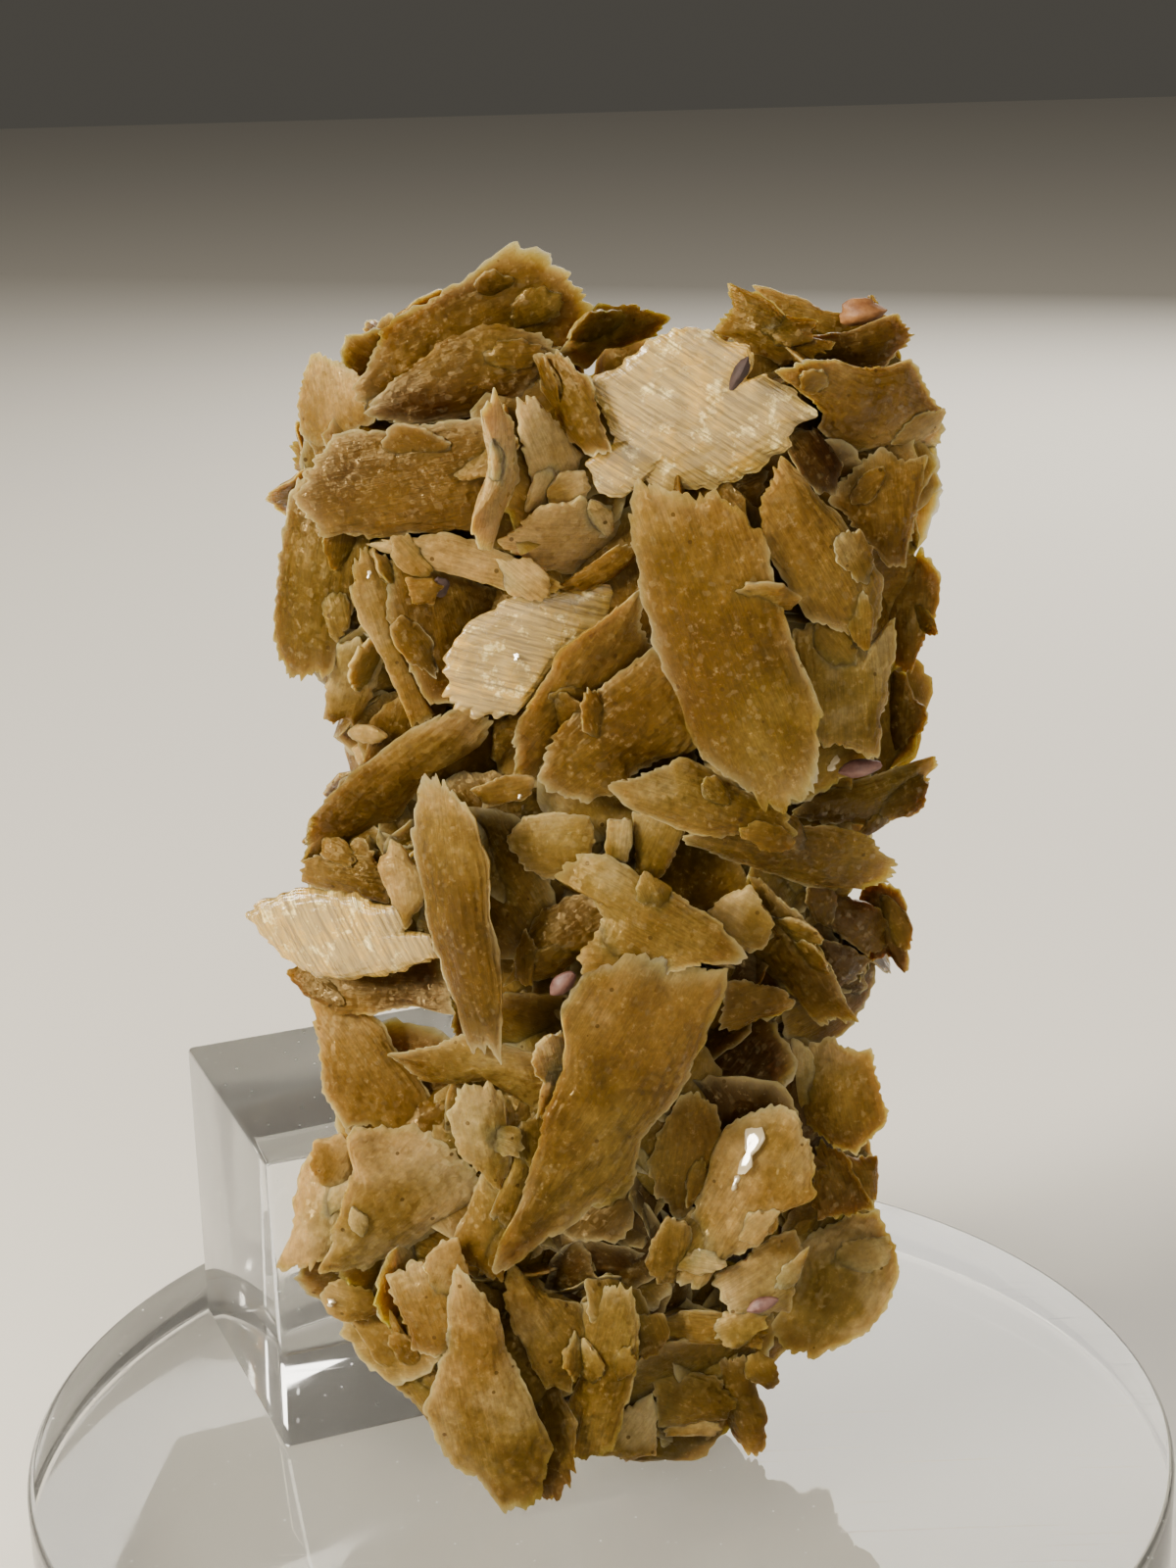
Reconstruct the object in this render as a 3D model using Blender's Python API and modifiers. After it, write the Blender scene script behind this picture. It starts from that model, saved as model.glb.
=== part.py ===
"""A magnesite crystal cluster on a clear acrylic disc, propped by a clear acrylic block.

The cluster is one solid: flattened, curved lens crystals that grow through one another, the
matrix between them and a few small grains on them. It stands on its lowest crystal tips on the
disc and leans against the block. The origin is the centre of the disc's underside, +Z is up and
the side that is shown faces -Y.
"""

import math
from typing import NamedTuple

import bmesh
import bpy
from mathutils import Matrix, Vector

MM = 0.001

# ---- driving sizes, in millimetres ---------------------------------------------------------
DISC_DIAMETER = 75.0
DISC_THICKNESS = 12.0
DISC_EDGE = 0.5
DISC_SIDES = 72

BLOCK_SIDE = 20.5
BLOCK_EDGE = 0.35
BLOCK_FRONT_LEFT = (-20.5, -3.9)
BLOCK_TURN = 21.5

CONTACT_GAP = 0.3
STAND_TOP = DISC_THICKNESS + CONTACT_GAP

EDGE_SEGMENTS = 2
SHARP_ANGLE = math.radians(40)

# ---- how a crystal and the matrix are faceted ------------------------------------------------
LENS_SIDES = 10
LENS_RINGS = 4
RIM_WAVES = 3
RIM_RIPPLE = 0.05
BED = 1.6
LUMP_SUBDIVISIONS = 2
FACETS_KEPT = 0.57

FRONT = Vector((0.0, -1.0, 0.0))


class Crystal(NamedTuple):
    """One flattened crystal, in millimetres: a lens from its root to its tip."""

    name: str
    tip: tuple
    root: tuple
    left: float
    right: float
    turn: float = 0.0
    thick: float = 2.0
    taper: float = 0.55


class Lump(NamedTuple):
    """A rounded mass of matrix, in millimetres: its centre and its three radii."""

    centre: tuple
    radii: tuple


# left and right are the half widths either side of the line from root to tip, turn is the
# angle about that line (0 faces the front, 180 the back), and taper runs from 0.4, blunt,
# to 0.8, pointed.
CROWN = (
    Crystal("crown_back", (1, 1, 86), (-12.5, 1, 81), 4.2, 2, 10, 3.2),
    Crystal("crown_front", (1.5, -4, 85), (-12, -3, 79.5), 2.6, 3, -20, 3.2, 0.6),
    Crystal("left_ear", (-15.5, 2, 82.5), (-14, 0, 76.5), 1.2, 2.4, -35, 1.8),
    Crystal("left_fan", (-14.5, -6, 77.5), (-3.5, -9, 79), 5, 2.6, 25, 3),
    Crystal("ribbon", (-4.2, -10, 82), (-5.4, -9, 73), 1.4, 1.4, 50, 2.2, 0.6),
    Crystal("tooth", (-2.3, -8, 81.5), (-0.8, -6, 75), 1, 1.3, 20, 1.8, 0.7),
    Crystal("brown_leaf", (-2.4, -7, 84.5), (0.8, -9, 78), 1.4, 1.8, -30, 2, 0.7),
    Crystal("top_leaf", (6, 0, 84.5), (-0.5, -4, 83), 1.6, 1.2, 15, 2, 0.65),
    Crystal("step_plate", (1.5, -7, 74), (-4.5, -10, 74), 1.6, 2.4, 25, 2),
    Crystal("long_leaf", (-11.5, -8, 73.5), (-1, -9, 70.5), 1.2, 1.4, 10, 1.8, 0.65),
    Crystal("left_disc", (-15.2, -1, 77), (-16, -3, 64.5), 2.8, 2.8, -20, 3.2),
    Crystal("left_blade", (-12, -8, 73), (-9, -7, 63), 1.6, 1.6, 15, 2.2, 0.65),
    Crystal("left_chip", (-11.5, -4, 67), (-15.5, -2, 60.5), 1.6, 1.6, 10, 2),
    Crystal("box_chip", (-9.5, -9.5, 71.5), (-7.8, -9.5, 69.8), 0.9, 0.9, 0, 1.6, 0.4),
    Crystal("brown_face", (-10.5, -6, 72), (-8.5, -7, 63), 3, 1.4, 20, 2.4, 0.6),
    Crystal("silver_mid", (3.5, -6, 69.5), (-7.5, -9, 65), 2.2, 2.2, 0, 2, 0.45),
)

RIGHT_TOP = (
    Crystal("silver_crown", (14, -8, 80), (1, -8, 81), 4.3, 4.5, 0, 2.2, 0.42),
    Crystal("right_big", (22.3, 0, 77.5), (13, -6, 79.5), 4, 2.6, 15, 3.2, 0.5),
    Crystal("right_fin", (9.3, -3, 87), (13, -6, 81), 2, 1.6, -30, 2.2, 0.65),
    Crystal("right_back", (11.5, 2, 85.5), (18, 1, 82.5), 1.4, 1.6, 0, 2),
    Crystal("right_top", (20, -2, 83.5), (13, -5, 83.5), 1.2, 2, 20, 2.4),
    Crystal("right_under", (18.5, -2, 76.5), (18.5, -3, 70.5), 3, 2.6, 10, 2.6, 0.5),
    Crystal("dark_wedge", (13, -7, 79.5), (15.5, -7, 74.5), 1.4, 1.2, 30, 2, 0.65),
    Crystal("slab_upper", (11, -11, 78), (17.5, -9, 66), 2.6, 2.2, 15, 2.8),
    Crystal("slab_lower", (13.5, -9, 68), (17, -9, 59), 2.2, 2.6, 15, 2.6, 0.5),
    Crystal("right_ear", (20.3, -1, 70.5), (19.5, -3, 63), 1.7, 2, -20, 2.6, 0.5),
    Crystal("right_brown", (19.5, 1, 63.5), (20, 0, 58), 1.4, 1.9, -30, 2),
    Crystal("tall_leaf", (4, -11, 77.5), (8.5, -11, 63), 2.6, 3.5, -10, 3.2, 0.6),
    Crystal("low_petal", (12, -13, 59), (5, -11, 68.5), 2.7, 3, 10, 3.2, 0.5),
    Crystal("shelf", (8.5, -12, 71), (13, -12, 70.5), 1, 1, -35, 1.6),
)

WAIST = (
    Crystal("side_leaf", (2.5, -8, 74.5), (-1.5, -8, 69.5), 1.2, 1.2, 10, 1.8, 0.65),
    Crystal("brown_ridge", (4, -9, 69), (-3.5, -8, 60), 1.5, 1.5, 30, 2.4, 0.65),
    Crystal("mid_leaf", (4.5, -9, 65.5), (-2, -9, 58.5), 2.6, 3.5, 5, 3),
    Crystal("diag_leaf", (4, -11, 60.5), (12, -10, 55), 2, 1.8, 15, 2.6, 0.6),
    Crystal("tongue", (1.7, -11, 59.6), (6, -10, 57.4), 0.7, 0.7, 0, 1.6, 0.65),
    Crystal("right_lobe", (18.5, -6, 53), (9.5, -9, 55.5), 2.2, 2.6, 20, 2.8),
    Crystal("right_wing", (22, -1, 57.5), (12, -7, 55.5), 1.5, 1.7, 10, 2.4, 0.7),
    Crystal("grey_leaf", (6.5, -7, 52), (12, -8, 48.5), 1.6, 2, -10, 2, 0.5),
    Crystal("brown_arc", (16.3, -4, 42), (10, -6, 52), 1.6, 2, 25, 2.4, 0.65),
    Crystal("dark_lobe", (18, 0, 48.5), (17.5, -1, 43), 2.4, 1.9, -20, 2.4, 0.5),
    Crystal("ragged_upper", (20, 0, 48.8), (13.5, -4, 49), 1.1, 1.3, 0, 2, 0.6),
    Crystal("ragged_lower", (20, 1, 43), (14, -3, 47), 1.1, 1.2, 0, 2, 0.65),
    Crystal("round_plate", (-5, -8, 56), (1, -9, 55), 2, 1.7, 0, 2, 0.5),
    Crystal("square_plate", (2, -9, 57), (2, -9, 53.5), 1.2, 1.2, 0, 1.8, 0.4),
    Crystal("green_band", (4.2, -9, 57.5), (3.6, -8, 52), 1.2, 1.6, -15, 2, 0.5),
    Crystal("long_sheet", (-1.5, -10, 54), (9, -12, 49), 2.2, 2.2, 10, 2.8, 0.6),
    Crystal("olive_under", (-5, -8.6, 46.5), (0.2, -9.5, 49.2), 1, 1, -20, 1.8, 0.6),
    Crystal("gold_sheet", (-5, -9, 45.5), (2.5, -10, 51), 1.3, 1.6, 20, 2.2, 0.65),
    Crystal("spindle", (-8.5, -10, 60.5), (-5.5, -12, 44), 2, 2, -25, 4, 0.7),
    Crystal("left_arm", (-4.5, -8, 64), (-16.5, -3, 53.5), 1.7, 2.4, 25, 2.4, 0.65),
    Crystal("left_cheek", (-17, -3, 51), (-9.5, -6, 58), 2.1, 2, 20, 2.6),
    Crystal("grey_fold", (-11, -7, 56), (-11, -9, 49.5), 1.2, 1.7, -10, 2, 0.5),
    Crystal("silver_left", (-20.8, -6, 50), (-8.5, -9, 48.5), 2.2, 2.3, 0, 2.4, 0.55),
    Crystal("ledge_left", (-14, -4, 61), (-11, -6, 61), 0.6, 0.6, 0, 1.4, 0.5),
    Crystal("pale_chip", (-14.5, 0, 61), (-12.5, -2, 58), 1, 1, 0, 1.8, 0.5),
    Crystal("shadow_sheet", (-18, -3, 45), (-12, -5, 46), 1.6, 1, 30, 2, 0.55),
    Crystal("great_lens", (9, -11, 49), (-5.5, -14, 30), 3.5, 3.2, 12, 3.8, 0.68),
)

LOWER_LEFT = (
    Crystal("left_lower", (-16.5, -3, 44), (-10, -6, 36), 2.6, 2.2, 10, 2.8),
    Crystal("flat_leaf", (-1.5, -11, 41.5), (-11.5, -9, 42), 1.8, 1.1, 20, 2.4, 0.7),
    Crystal("round_lobe", (-6.5, -11, 41), (-5.5, -11, 34.5), 2, 1.4, 10, 2.4, 0.5),
    Crystal("inner_high", (-7.8, -10, 39.5), (-2.8, -11.5, 29), 2.4, 2.2, 10, 2.4, 0.55),
    Crystal("inner_low", (-1, -10, 40), (-7, -10.5, 31.5), 1.8, 2.6, -15, 2.4, 0.55),
    Crystal("pale_sliver", (-1.3, -11, 44.5), (-3, -10.5, 38), 0.7, 0.7, 40, 1.6, 0.65),
    Crystal("left_tuck", (-15.6, -5, 38.5), (-11, -7, 35), 1.6, 1.4, 0, 2.2, 0.55),
    Crystal("box_face", (-15.3, -8.6, 35.5), (-17.7, -8.6, 31.5), 1.1, 1.1, 0, 2, 0.4),
    Crystal("lobe_outer", (-15, -5.5, 35.5), (-19.2, -8, 27), 2.1, 2.9, -20, 2.8, 0.5),
    Crystal("lobe_inner", (-8, -9, 36), (-17, -10, 28), 2.8, 2.5, 15, 3),
    Crystal("left_bead", (-17, -8.5, 26.8), (-14, -9, 24.5), 1.1, 1, 0, 2, 0.5),
    Crystal("low_leaf_left", (-17, -8.5, 25), (-9, -11, 19), 1.2, 1.5, 10, 2.2, 0.65),
    Crystal("foot_plate", (-12.5, -11, 28.5), (-7, -13, 23.5), 2.4, 2.2, 0, 2.2, 0.5),
    Crystal("foot_main", (-8.5, -13, 29), (-4.3, -12, 12.8), 2.6, 2.6, 0, 3.2, 0.62),
    Crystal("foot_left", (-12.5, -9.5, 20.5), (-5.5, -11, 12.8), 1.5, 1.4, -20, 2.6),
    Crystal("foot_wedge", (-3, -10, 26), (-2.5, -11, 18), 2, 1.8, 20, 2.4, 0.6),
    Crystal("foot_right", (2, -10, 28.5), (-1, -10, 14.5), 2, 1.8, -15, 2.8, 0.6),
    Crystal("foot_back", (-2, -7, 19.5), (-3.2, -9, 12.8), 1.8, 1.8, -30, 2.4, 0.55),
    Crystal("pale_foot", (3.5, -7.5, 17.5), (1.2, -8, 13.6), 1.9, 1.4, 0, 2, 0.45),
)

LOWER_RIGHT = (
    Crystal("bottom_body", (3, -6, 18), (9, -6, 14.8), 1.6, 1.6, 10, 2.8, 0.5),
    Crystal("horn", (10.3, -5.5, 12.8), (7.5, -6, 19), 1.4, 1.4, 15, 2.6, 0.65),
    Crystal("low_band", (3, -7, 22), (10.5, -8, 22.5), 1.2, 1.2, 10, 2.2, 0.5),
    Crystal("right_disc", (18.3, -2, 28), (11, -6, 19), 3.4, 3.8, -15, 3.2, 0.5),
    Crystal("fan_disc", (14.5, -3, 40), (16, -5, 32.5), 2.8, 2.5, -10, 2.8, 0.5),
    Crystal("gloss_plate", (12.5, -8, 38), (6.5, -9, 29.5), 3.4, 2.5, -10, 2.6, 0.42),
    Crystal("gloss_lower", (9, -7, 34.5), (5, -10, 26.5), 2.4, 2.7, 0, 2.4, 0.5),
    Crystal("grey_step", (2.6, -10, 30), (7.3, -9, 26.5), 1.7, 1.5, 0, 2, 0.45),
    Crystal("grey_lump", (9.6, -7, 20.4), (11.1, -7, 17.4), 1, 1, 0, 1.8, 0.45),
    Crystal("low_fill", (-0.5, -9, 26.5), (5.5, -8, 20), 2.2, 2, 20, 2.4, 0.55),
    Crystal("jag_plate", (7.5, -9, 26), (13, -8, 28), 2, 2, 0, 2, 0.5),
    Crystal("inner_right", (14.5, -3, 33.5), (16.5, -6, 28.5), 1.5, 1.5, 15, 2, 0.6),
    Crystal("wedge_right", (18.2, -2, 33.3), (14.7, -5, 28.4), 1.2, 1.2, 10, 2, 0.55),
    Crystal("shade_leaf", (6.5, -6, 38), (2.5, -7, 32.5), 1.6, 2, 10, 2.2, 0.6),
    Crystal("green_tip", (12.5, -7, 44), (7, -8, 42.5), 1.1, 1, 10, 1.8, 0.65),
)

SIDES_AND_BACK = (
    Crystal("back_crown", (-1, 5, 86), (-11, 8, 76), 4, 4, 170, 3.2),
    Crystal("back_left_high", (-17, 4, 77), (-8, 9, 70), 4, 3.6, 160, 3.2, 0.5),
    Crystal("back_left_low", (-15.5, 4, 62), (-6, 9, 64), 4, 3.8, 190, 3.2, 0.6),
    Crystal("back_top", (4, 6, 84), (2, 8.5, 69), 4.4, 4, 175, 3.4, 0.6),
    Crystal("back_right_top", (15.5, 4, 85), (9, 9, 74), 3.6, 4.2, 195, 3.2, 0.5),
    Crystal("back_right_high", (20.5, 4, 75), (12, 9, 70), 4, 4, 200, 3, 0.5),
    Crystal("back_right_low", (17, 5, 58), (11, 9, 69), 3.5, 4, 170, 3, 0.6),
    Crystal("back_centre", (-3, 9.5, 72), (4, 9, 59), 4.6, 4.6, 180, 3.4, 0.55),
    Crystal("back_waist_left", (-14, 4, 50), (-4, 8, 58), 3.8, 3.5, 165, 3.2, 0.6),
    Crystal("back_waist_right", (15, 5, 48), (5, 9, 57), 3.8, 4, 190, 3.2, 0.6),
    Crystal("back_long", (4, 9, 63), (0, 8.5, 45), 3.8, 3.6, 185, 3.2, 0.65),
    Crystal("back_low_left", (-8.6, 2, 37), (-3, 5.5, 46.5), 2.8, 2.8, 172, 3, 0.5),
    Crystal("back_low_right", (12.5, 4, 31), (5, 7, 45), 4, 3.8, 185, 3.2, 0.6),
    Crystal("back_low_middle", (5.5, 5, 26), (2.5, 6, 42), 3.4, 3.4, 178, 3, 0.6),
    Crystal("back_foot", (3.2, -1.5, 15.5), (4.5, 3, 30), 2.6, 2.8, 180, 3, 0.6),
    Crystal("right_side_high", (20.5, 3, 82), (18.5, 3, 71), 3.6, 3.8, 80, 2.6, 0.5),
    Crystal("right_side_waist", (18.5, 4, 69), (18, 2, 57), 3.2, 3.4, 105, 2.6, 0.6),
    Crystal("right_side_mid", (15.5, 3, 56), (14.5, 2, 43), 3, 3.2, 70, 2.6, 0.6),
    Crystal("right_side_low", (16, 0, 37), (14.5, 1, 25), 3, 3, 80, 2.6, 0.6),
    Crystal("left_side_high", (-15, 3, 80), (-15.5, 3, 68), 3.2, 3.4, -80, 2.8, 0.5),
    Crystal("left_side_waist", (-13.5, 2, 62), (-13, 1, 51), 3, 3.2, -75, 2.6, 0.6),
    Crystal("left_side_low", (-15.2, -1, 46.5), (-13.8, -2, 37.5), 2.4, 2.4, -75, 2, 0.6),
)

# Small grains of other minerals, and one iron-stained lump, grown onto the crystals.
GRAINS = (
    Crystal("dark_rod", (9.9, -9.8, 83.6), (8.9, -9.6, 81.6), 0.35, 0.35, 0, 0.8, 0.3),
    Crystal("dark_grain", (-7.8, -8.6, 71.4), (-7.5, -8.4, 70.2), 0.45, 0.45, 0, 1, 0.4),
    Crystal("pink_rod", (-0.6, -11, 47.9), (-2.4, -10.8, 46.4), 0.42, 0.42, 0, 0.9, 0.3),
    Crystal("pink_lump", (17.6, -8.4, 59), (14.6, -8.6, 59.2), 0.8, 0.8, 0, 1.6, 0.4),
    Crystal("stained_lump", (18.2, 0, 85.2), (15.6, -0.5, 84.8), 0.9, 0.9, 0, 2, 0.4),
)

# The matrix between the crystals, row by row from the crown down: centre, then radii.
MATRIX = (
    Lump((-6, 0, 82), (6, 5.5, 4.5)),
    Lump((14, 0, 81), (5.5, 5.5, 4)),
    Lump((-11, 0, 76), (5.5, 7, 6)),
    Lump((-2, -1, 76), (7.5, 8, 6)),
    Lump((8, -1, 76), (7.5, 8, 6)),
    Lump((16, 0, 75), (5.5, 7, 6)),
    Lump((-12, 0, 68), (5, 7, 6)),
    Lump((-3, -0.5, 68), (8, 8.5, 6.5)),
    Lump((7, -1, 68), (8.5, 9, 7)),
    Lump((16, 0, 67), (4.5, 7.5, 7)),
    Lump((-8, 0, 60), (6, 7, 6)),
    Lump((2, -0.5, 60), (8, 8.5, 6.5)),
    Lump((12, -0.5, 60), (7, 8, 6)),
    Lump((-11, 0, 52), (5, 6.5, 5.5)),
    Lump((-2, -0.5, 52), (8, 8.5, 6.5)),
    Lump((9, -0.5, 52), (7, 7.5, 6)),
    Lump((-6.2, -1, 44), (2.7, 5.5, 5)),
    Lump((1, -1.5, 44), (8, 8.5, 6.5)),
    Lump((11, -1, 45), (6.5, 5.5, 4.5)),
    Lump((-9, -4.5, 35.5), (5.5, 5, 4.8)),
    Lump((1, -3, 36), (7, 8, 7)),
    Lump((9.5, -2, 35), (5.5, 6, 6.5)),
    Lump((-12.5, -8.4, 30), (5, 2.6, 5)),
    Lump((-5.5, -8.2, 31.5), (4.5, 3, 4.5)),
    Lump((1, -5, 29), (6.5, 6, 7)),
    Lump((12, -0.5, 27), (4.5, 4.5, 6)),
    Lump((-10.5, -9.3, 25), (3.6, 1.9, 3.6)),
    Lump((-4.5, -8.6, 21.5), (4.5, 3.4, 5.5)),
    Lump((4.5, -5, 20.5), (6, 4, 4.5)),
    Lump((3.5, -5.5, 17), (4.5, 2.8, 3.8)),
)


def clear_scene():
    """Remove every object, so that the script starts from an empty scene."""
    for stale in list(bpy.data.objects):
        bpy.data.objects.remove(stale, do_unlink=True)


def new_collection(name, helper=False):
    """Make a collection; a helper's is left out of renders."""
    collection = bpy.data.collections.new(name)
    collection.hide_render = helper
    bpy.context.scene.collection.children.link(collection)
    return collection


def new_object(name, bm, collection, material=None):
    """Turn a bmesh into a named object in a collection."""
    mesh = bpy.data.meshes.new(name)
    bmesh.ops.recalc_face_normals(bm, faces=bm.faces)
    bm.to_mesh(mesh)
    bm.free()
    obj = bpy.data.objects.new(name, mesh)
    if material:
        mesh.materials.append(material)
    collection.objects.link(obj)
    return obj


def principled(name, colour, roughness, **inputs):
    """A Principled material with a plain colour."""
    material = bpy.data.materials.new(name)
    material.use_nodes = True
    shader = material.node_tree.nodes["Principled BSDF"]
    shader.inputs["Base Color"].default_value = (*colour, 1.0)
    shader.inputs["Roughness"].default_value = roughness
    shader.inputs["Metallic"].default_value = 0.0
    for socket, value in inputs.items():
        shader.inputs[socket.replace("_", " ")].default_value = value
    return material


def add_bevel(obj, width):
    """Round an object's sharp edges."""
    bevel = obj.modifiers.new("rounded_edges", "BEVEL")
    bevel.width = width * MM
    bevel.segments = EDGE_SEGMENTS
    bevel.limit_method = "ANGLE"
    bevel.angle_limit = SHARP_ANGLE


def build_disc(collection, material):
    """The clear disc that everything stands on."""
    bm = bmesh.new()
    radius = DISC_DIAMETER / 2 * MM
    bmesh.ops.create_cone(
        bm, cap_ends=True, segments=DISC_SIDES, radius1=radius, radius2=radius,
        depth=DISC_THICKNESS * MM,
    )
    disc = new_object("base_disc", bm, collection, material)
    disc.location.z = DISC_THICKNESS / 2 * MM
    add_bevel(disc, DISC_EDGE)
    return disc


def block_matrix():
    """Where the block stands: its front left lower corner, turned about the vertical."""
    corner = Vector((*BLOCK_FRONT_LEFT, STAND_TOP)) * MM
    return Matrix.Translation(corner) @ Matrix.Rotation(math.radians(BLOCK_TURN), 4, "Z")


def build_block(collection, material):
    """The clear block that the cluster leans on."""
    bm = bmesh.new()
    side = BLOCK_SIDE * MM
    bmesh.ops.create_cube(bm, size=side)
    block = new_object("rest_block", bm, collection, material)
    block.matrix_world = block_matrix() @ Matrix.Translation(Vector((side, side, side)) / 2)
    add_bevel(block, BLOCK_EDGE)
    return block


def crystal_axes(crystal):
    """A crystal's length, side and face directions, with its middle and its length."""
    tip = Vector(crystal.tip)
    root = Vector(crystal.root)
    along = (tip - root).normalized()
    face = (FRONT - along * FRONT.dot(along)).normalized()
    face.rotate(Matrix.Rotation(math.radians(crystal.turn), 3, along))
    return along, along.cross(face), face, (tip + root) / 2, (tip - root).length


def build_crystal(crystal, collection, order):
    """Shape a low sphere into a flattened lens with a pointed outline and a thin rim.

    Its back is deeper than its front by BED, so that it is bedded in its neighbours.
    """
    along, side, face, middle, length = crystal_axes(crystal)
    bm = bmesh.new()
    bmesh.ops.create_uvsphere(bm, u_segments=LENS_SIDES, v_segments=LENS_RINGS, radius=1.0)
    for vert in bm.verts:
        reach = math.hypot(vert.co.x, vert.co.y)
        angle = math.atan2(vert.co.y, vert.co.x)
        half_width = crystal.right if angle > 0 else crystal.left
        ripple = 1 + RIM_RIPPLE * math.sin(RIM_WAVES * angle + order)
        ahead = reach * math.cos(angle) * length / 2
        across = math.copysign(abs(math.sin(angle)) ** (2 * crystal.taper), angle)
        aside = reach * across * half_width * ripple
        depth = crystal.thick / 2 if vert.co.z > 0 else crystal.thick / 2 + BED
        out = vert.co.z * depth
        vert.co = (middle + along * ahead + side * aside + face * out) * MM
    return new_object(crystal.name, bm, collection)


def build_lump(lump, collection, order):
    """A rounded mass of the matrix that the crystals grow from."""
    bm = bmesh.new()
    bmesh.ops.create_icosphere(bm, subdivisions=LUMP_SUBDIVISIONS, radius=1.0)
    bmesh.ops.scale(bm, vec=Vector(lump.radii) * MM, verts=bm.verts)
    bmesh.ops.translate(bm, vec=Vector(lump.centre) * MM, verts=bm.verts)
    return new_object(f"matrix_{order}", bm, collection)


def islands(bm):
    """The separate shells of a bmesh, as lists of faces."""
    left = set(bm.faces)
    found = []
    while left:
        shell = []
        queue = [left.pop()]
        while queue:
            face = queue.pop()
            shell.append(face)
            for edge in face.edges:
                for other in edge.link_faces:
                    if other in left:
                        left.remove(other)
                        queue.append(other)
        found.append(shell)
    return found


def shell_volume(shell):
    """The signed volume inside one shell."""
    total = 0.0
    for face in shell:
        corners = [loop.vert.co for loop in face.loops]
        for second, third in zip(corners[1:-1], corners[2:]):
            total += corners[0].dot(second.cross(third)) / 6
    return total


def keep_outer_shell(obj):
    """Fill the closed pockets that lie between crystals."""
    bm = bmesh.new()
    bm.from_mesh(obj.data)
    bmesh.ops.triangulate(bm, faces=bm.faces)
    shells = sorted(islands(bm), key=shell_volume)
    for shell in shells[:-1]:
        bmesh.ops.delete(bm, geom=shell, context="FACES")
    loose = [vert for vert in bm.verts if not vert.link_faces]
    bmesh.ops.delete(bm, geom=loose, context="VERTS")
    bm.to_mesh(obj.data)
    bm.free()


def build_cluster(collection, helpers, material):
    """Join all crystals, grains and matrix in one closed solid."""
    crystals = CROWN + RIGHT_TOP + WAIST + LOWER_LEFT + LOWER_RIGHT + SIDES_AND_BACK + GRAINS
    for order, crystal in enumerate(crystals):
        build_crystal(crystal, helpers, order)
    seed = build_lump(MATRIX[0], collection, 0)
    for order, lump in enumerate(MATRIX[1:], start=1):
        build_lump(lump, helpers, order)

    join = seed.modifiers.new("grown_together", "BOOLEAN")
    join.operation = "UNION"
    join.operand_type = "COLLECTION"
    join.collection = helpers
    join.solver = "EXACT"
    join.use_self = True

    depsgraph = bpy.context.evaluated_depsgraph_get()
    mesh = bpy.data.meshes.new_from_object(seed.evaluated_get(depsgraph))
    bpy.data.objects.remove(seed, do_unlink=True)
    cluster = bpy.data.objects.new("crystal_cluster", mesh)
    mesh.name = "crystal_cluster"
    mesh.materials.clear()
    mesh.materials.append(material)
    collection.objects.link(cluster)
    keep_outer_shell(cluster)
    thin = cluster.modifiers.new("fewer_facets", "DECIMATE")
    thin.ratio = FACETS_KEPT
    return cluster


def main():
    """Build the specimen and its stand."""
    clear_scene()
    parts = new_collection("magnesite_specimen")
    helpers = new_collection("crystal_shapes", helper=True)
    magnesite = principled("magnesite", (0.42, 0.29, 0.15), 0.45, Subsurface_Weight=0.2)
    acrylic = principled("clear_acrylic", (0.95, 0.96, 0.95), 0.05, IOR=1.49,
                         Transmission_Weight=1.0)
    build_disc(parts, acrylic)
    build_block(parts, acrylic)
    build_cluster(parts, helpers, magnesite)
    for shape in helpers.objects:
        shape.hide_render = True
        shape.display_type = "WIRE"


main()
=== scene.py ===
"""Dress the magnesite specimen: crystals, matrix, grains and the clear stand under them.

Sizes in the tables are millimetres in the row's frame: the origin is the centre of the disc's
underside, +Z is up and the side that is shown faces -Y.
"""

import logging
import math
from dataclasses import dataclass
from enum import Enum
from typing import Callable, Iterable

import bpy
import numpy as np
from mathutils import Matrix, Vector


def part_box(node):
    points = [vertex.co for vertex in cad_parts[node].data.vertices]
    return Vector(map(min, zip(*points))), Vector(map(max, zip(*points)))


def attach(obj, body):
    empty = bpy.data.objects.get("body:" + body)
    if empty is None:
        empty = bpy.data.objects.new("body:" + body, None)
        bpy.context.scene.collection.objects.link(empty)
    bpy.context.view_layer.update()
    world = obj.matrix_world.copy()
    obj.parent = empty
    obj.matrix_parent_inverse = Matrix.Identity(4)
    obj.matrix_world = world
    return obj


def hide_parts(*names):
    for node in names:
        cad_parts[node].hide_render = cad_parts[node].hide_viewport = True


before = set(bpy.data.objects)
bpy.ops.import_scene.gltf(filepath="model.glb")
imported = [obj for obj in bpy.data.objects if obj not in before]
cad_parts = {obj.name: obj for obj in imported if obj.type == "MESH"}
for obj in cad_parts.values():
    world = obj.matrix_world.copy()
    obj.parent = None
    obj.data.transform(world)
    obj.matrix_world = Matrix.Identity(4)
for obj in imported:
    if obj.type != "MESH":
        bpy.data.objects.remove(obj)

LOG = logging.getLogger("magnesite_specimen")
MM = 0.001
FRONT = Vector((0.0, -1.0, 0.0))
Triple = tuple[float, float, float]
Span = tuple[float, float]
Outline = tuple[tuple[float, float], ...]

# Constants of a small integer hash, which makes one repeatable number for each lattice cell.
HASH_AXES = (73856093, 19349663, 83492791)
HASH_SEED = 40503
HASH_SPREAD = 1274126177
HASH_BITS = 0xFFFFFFFF
SEED_SHIFT = 0.37


# ---------------------------------------------------------------------------- small helpers


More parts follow.
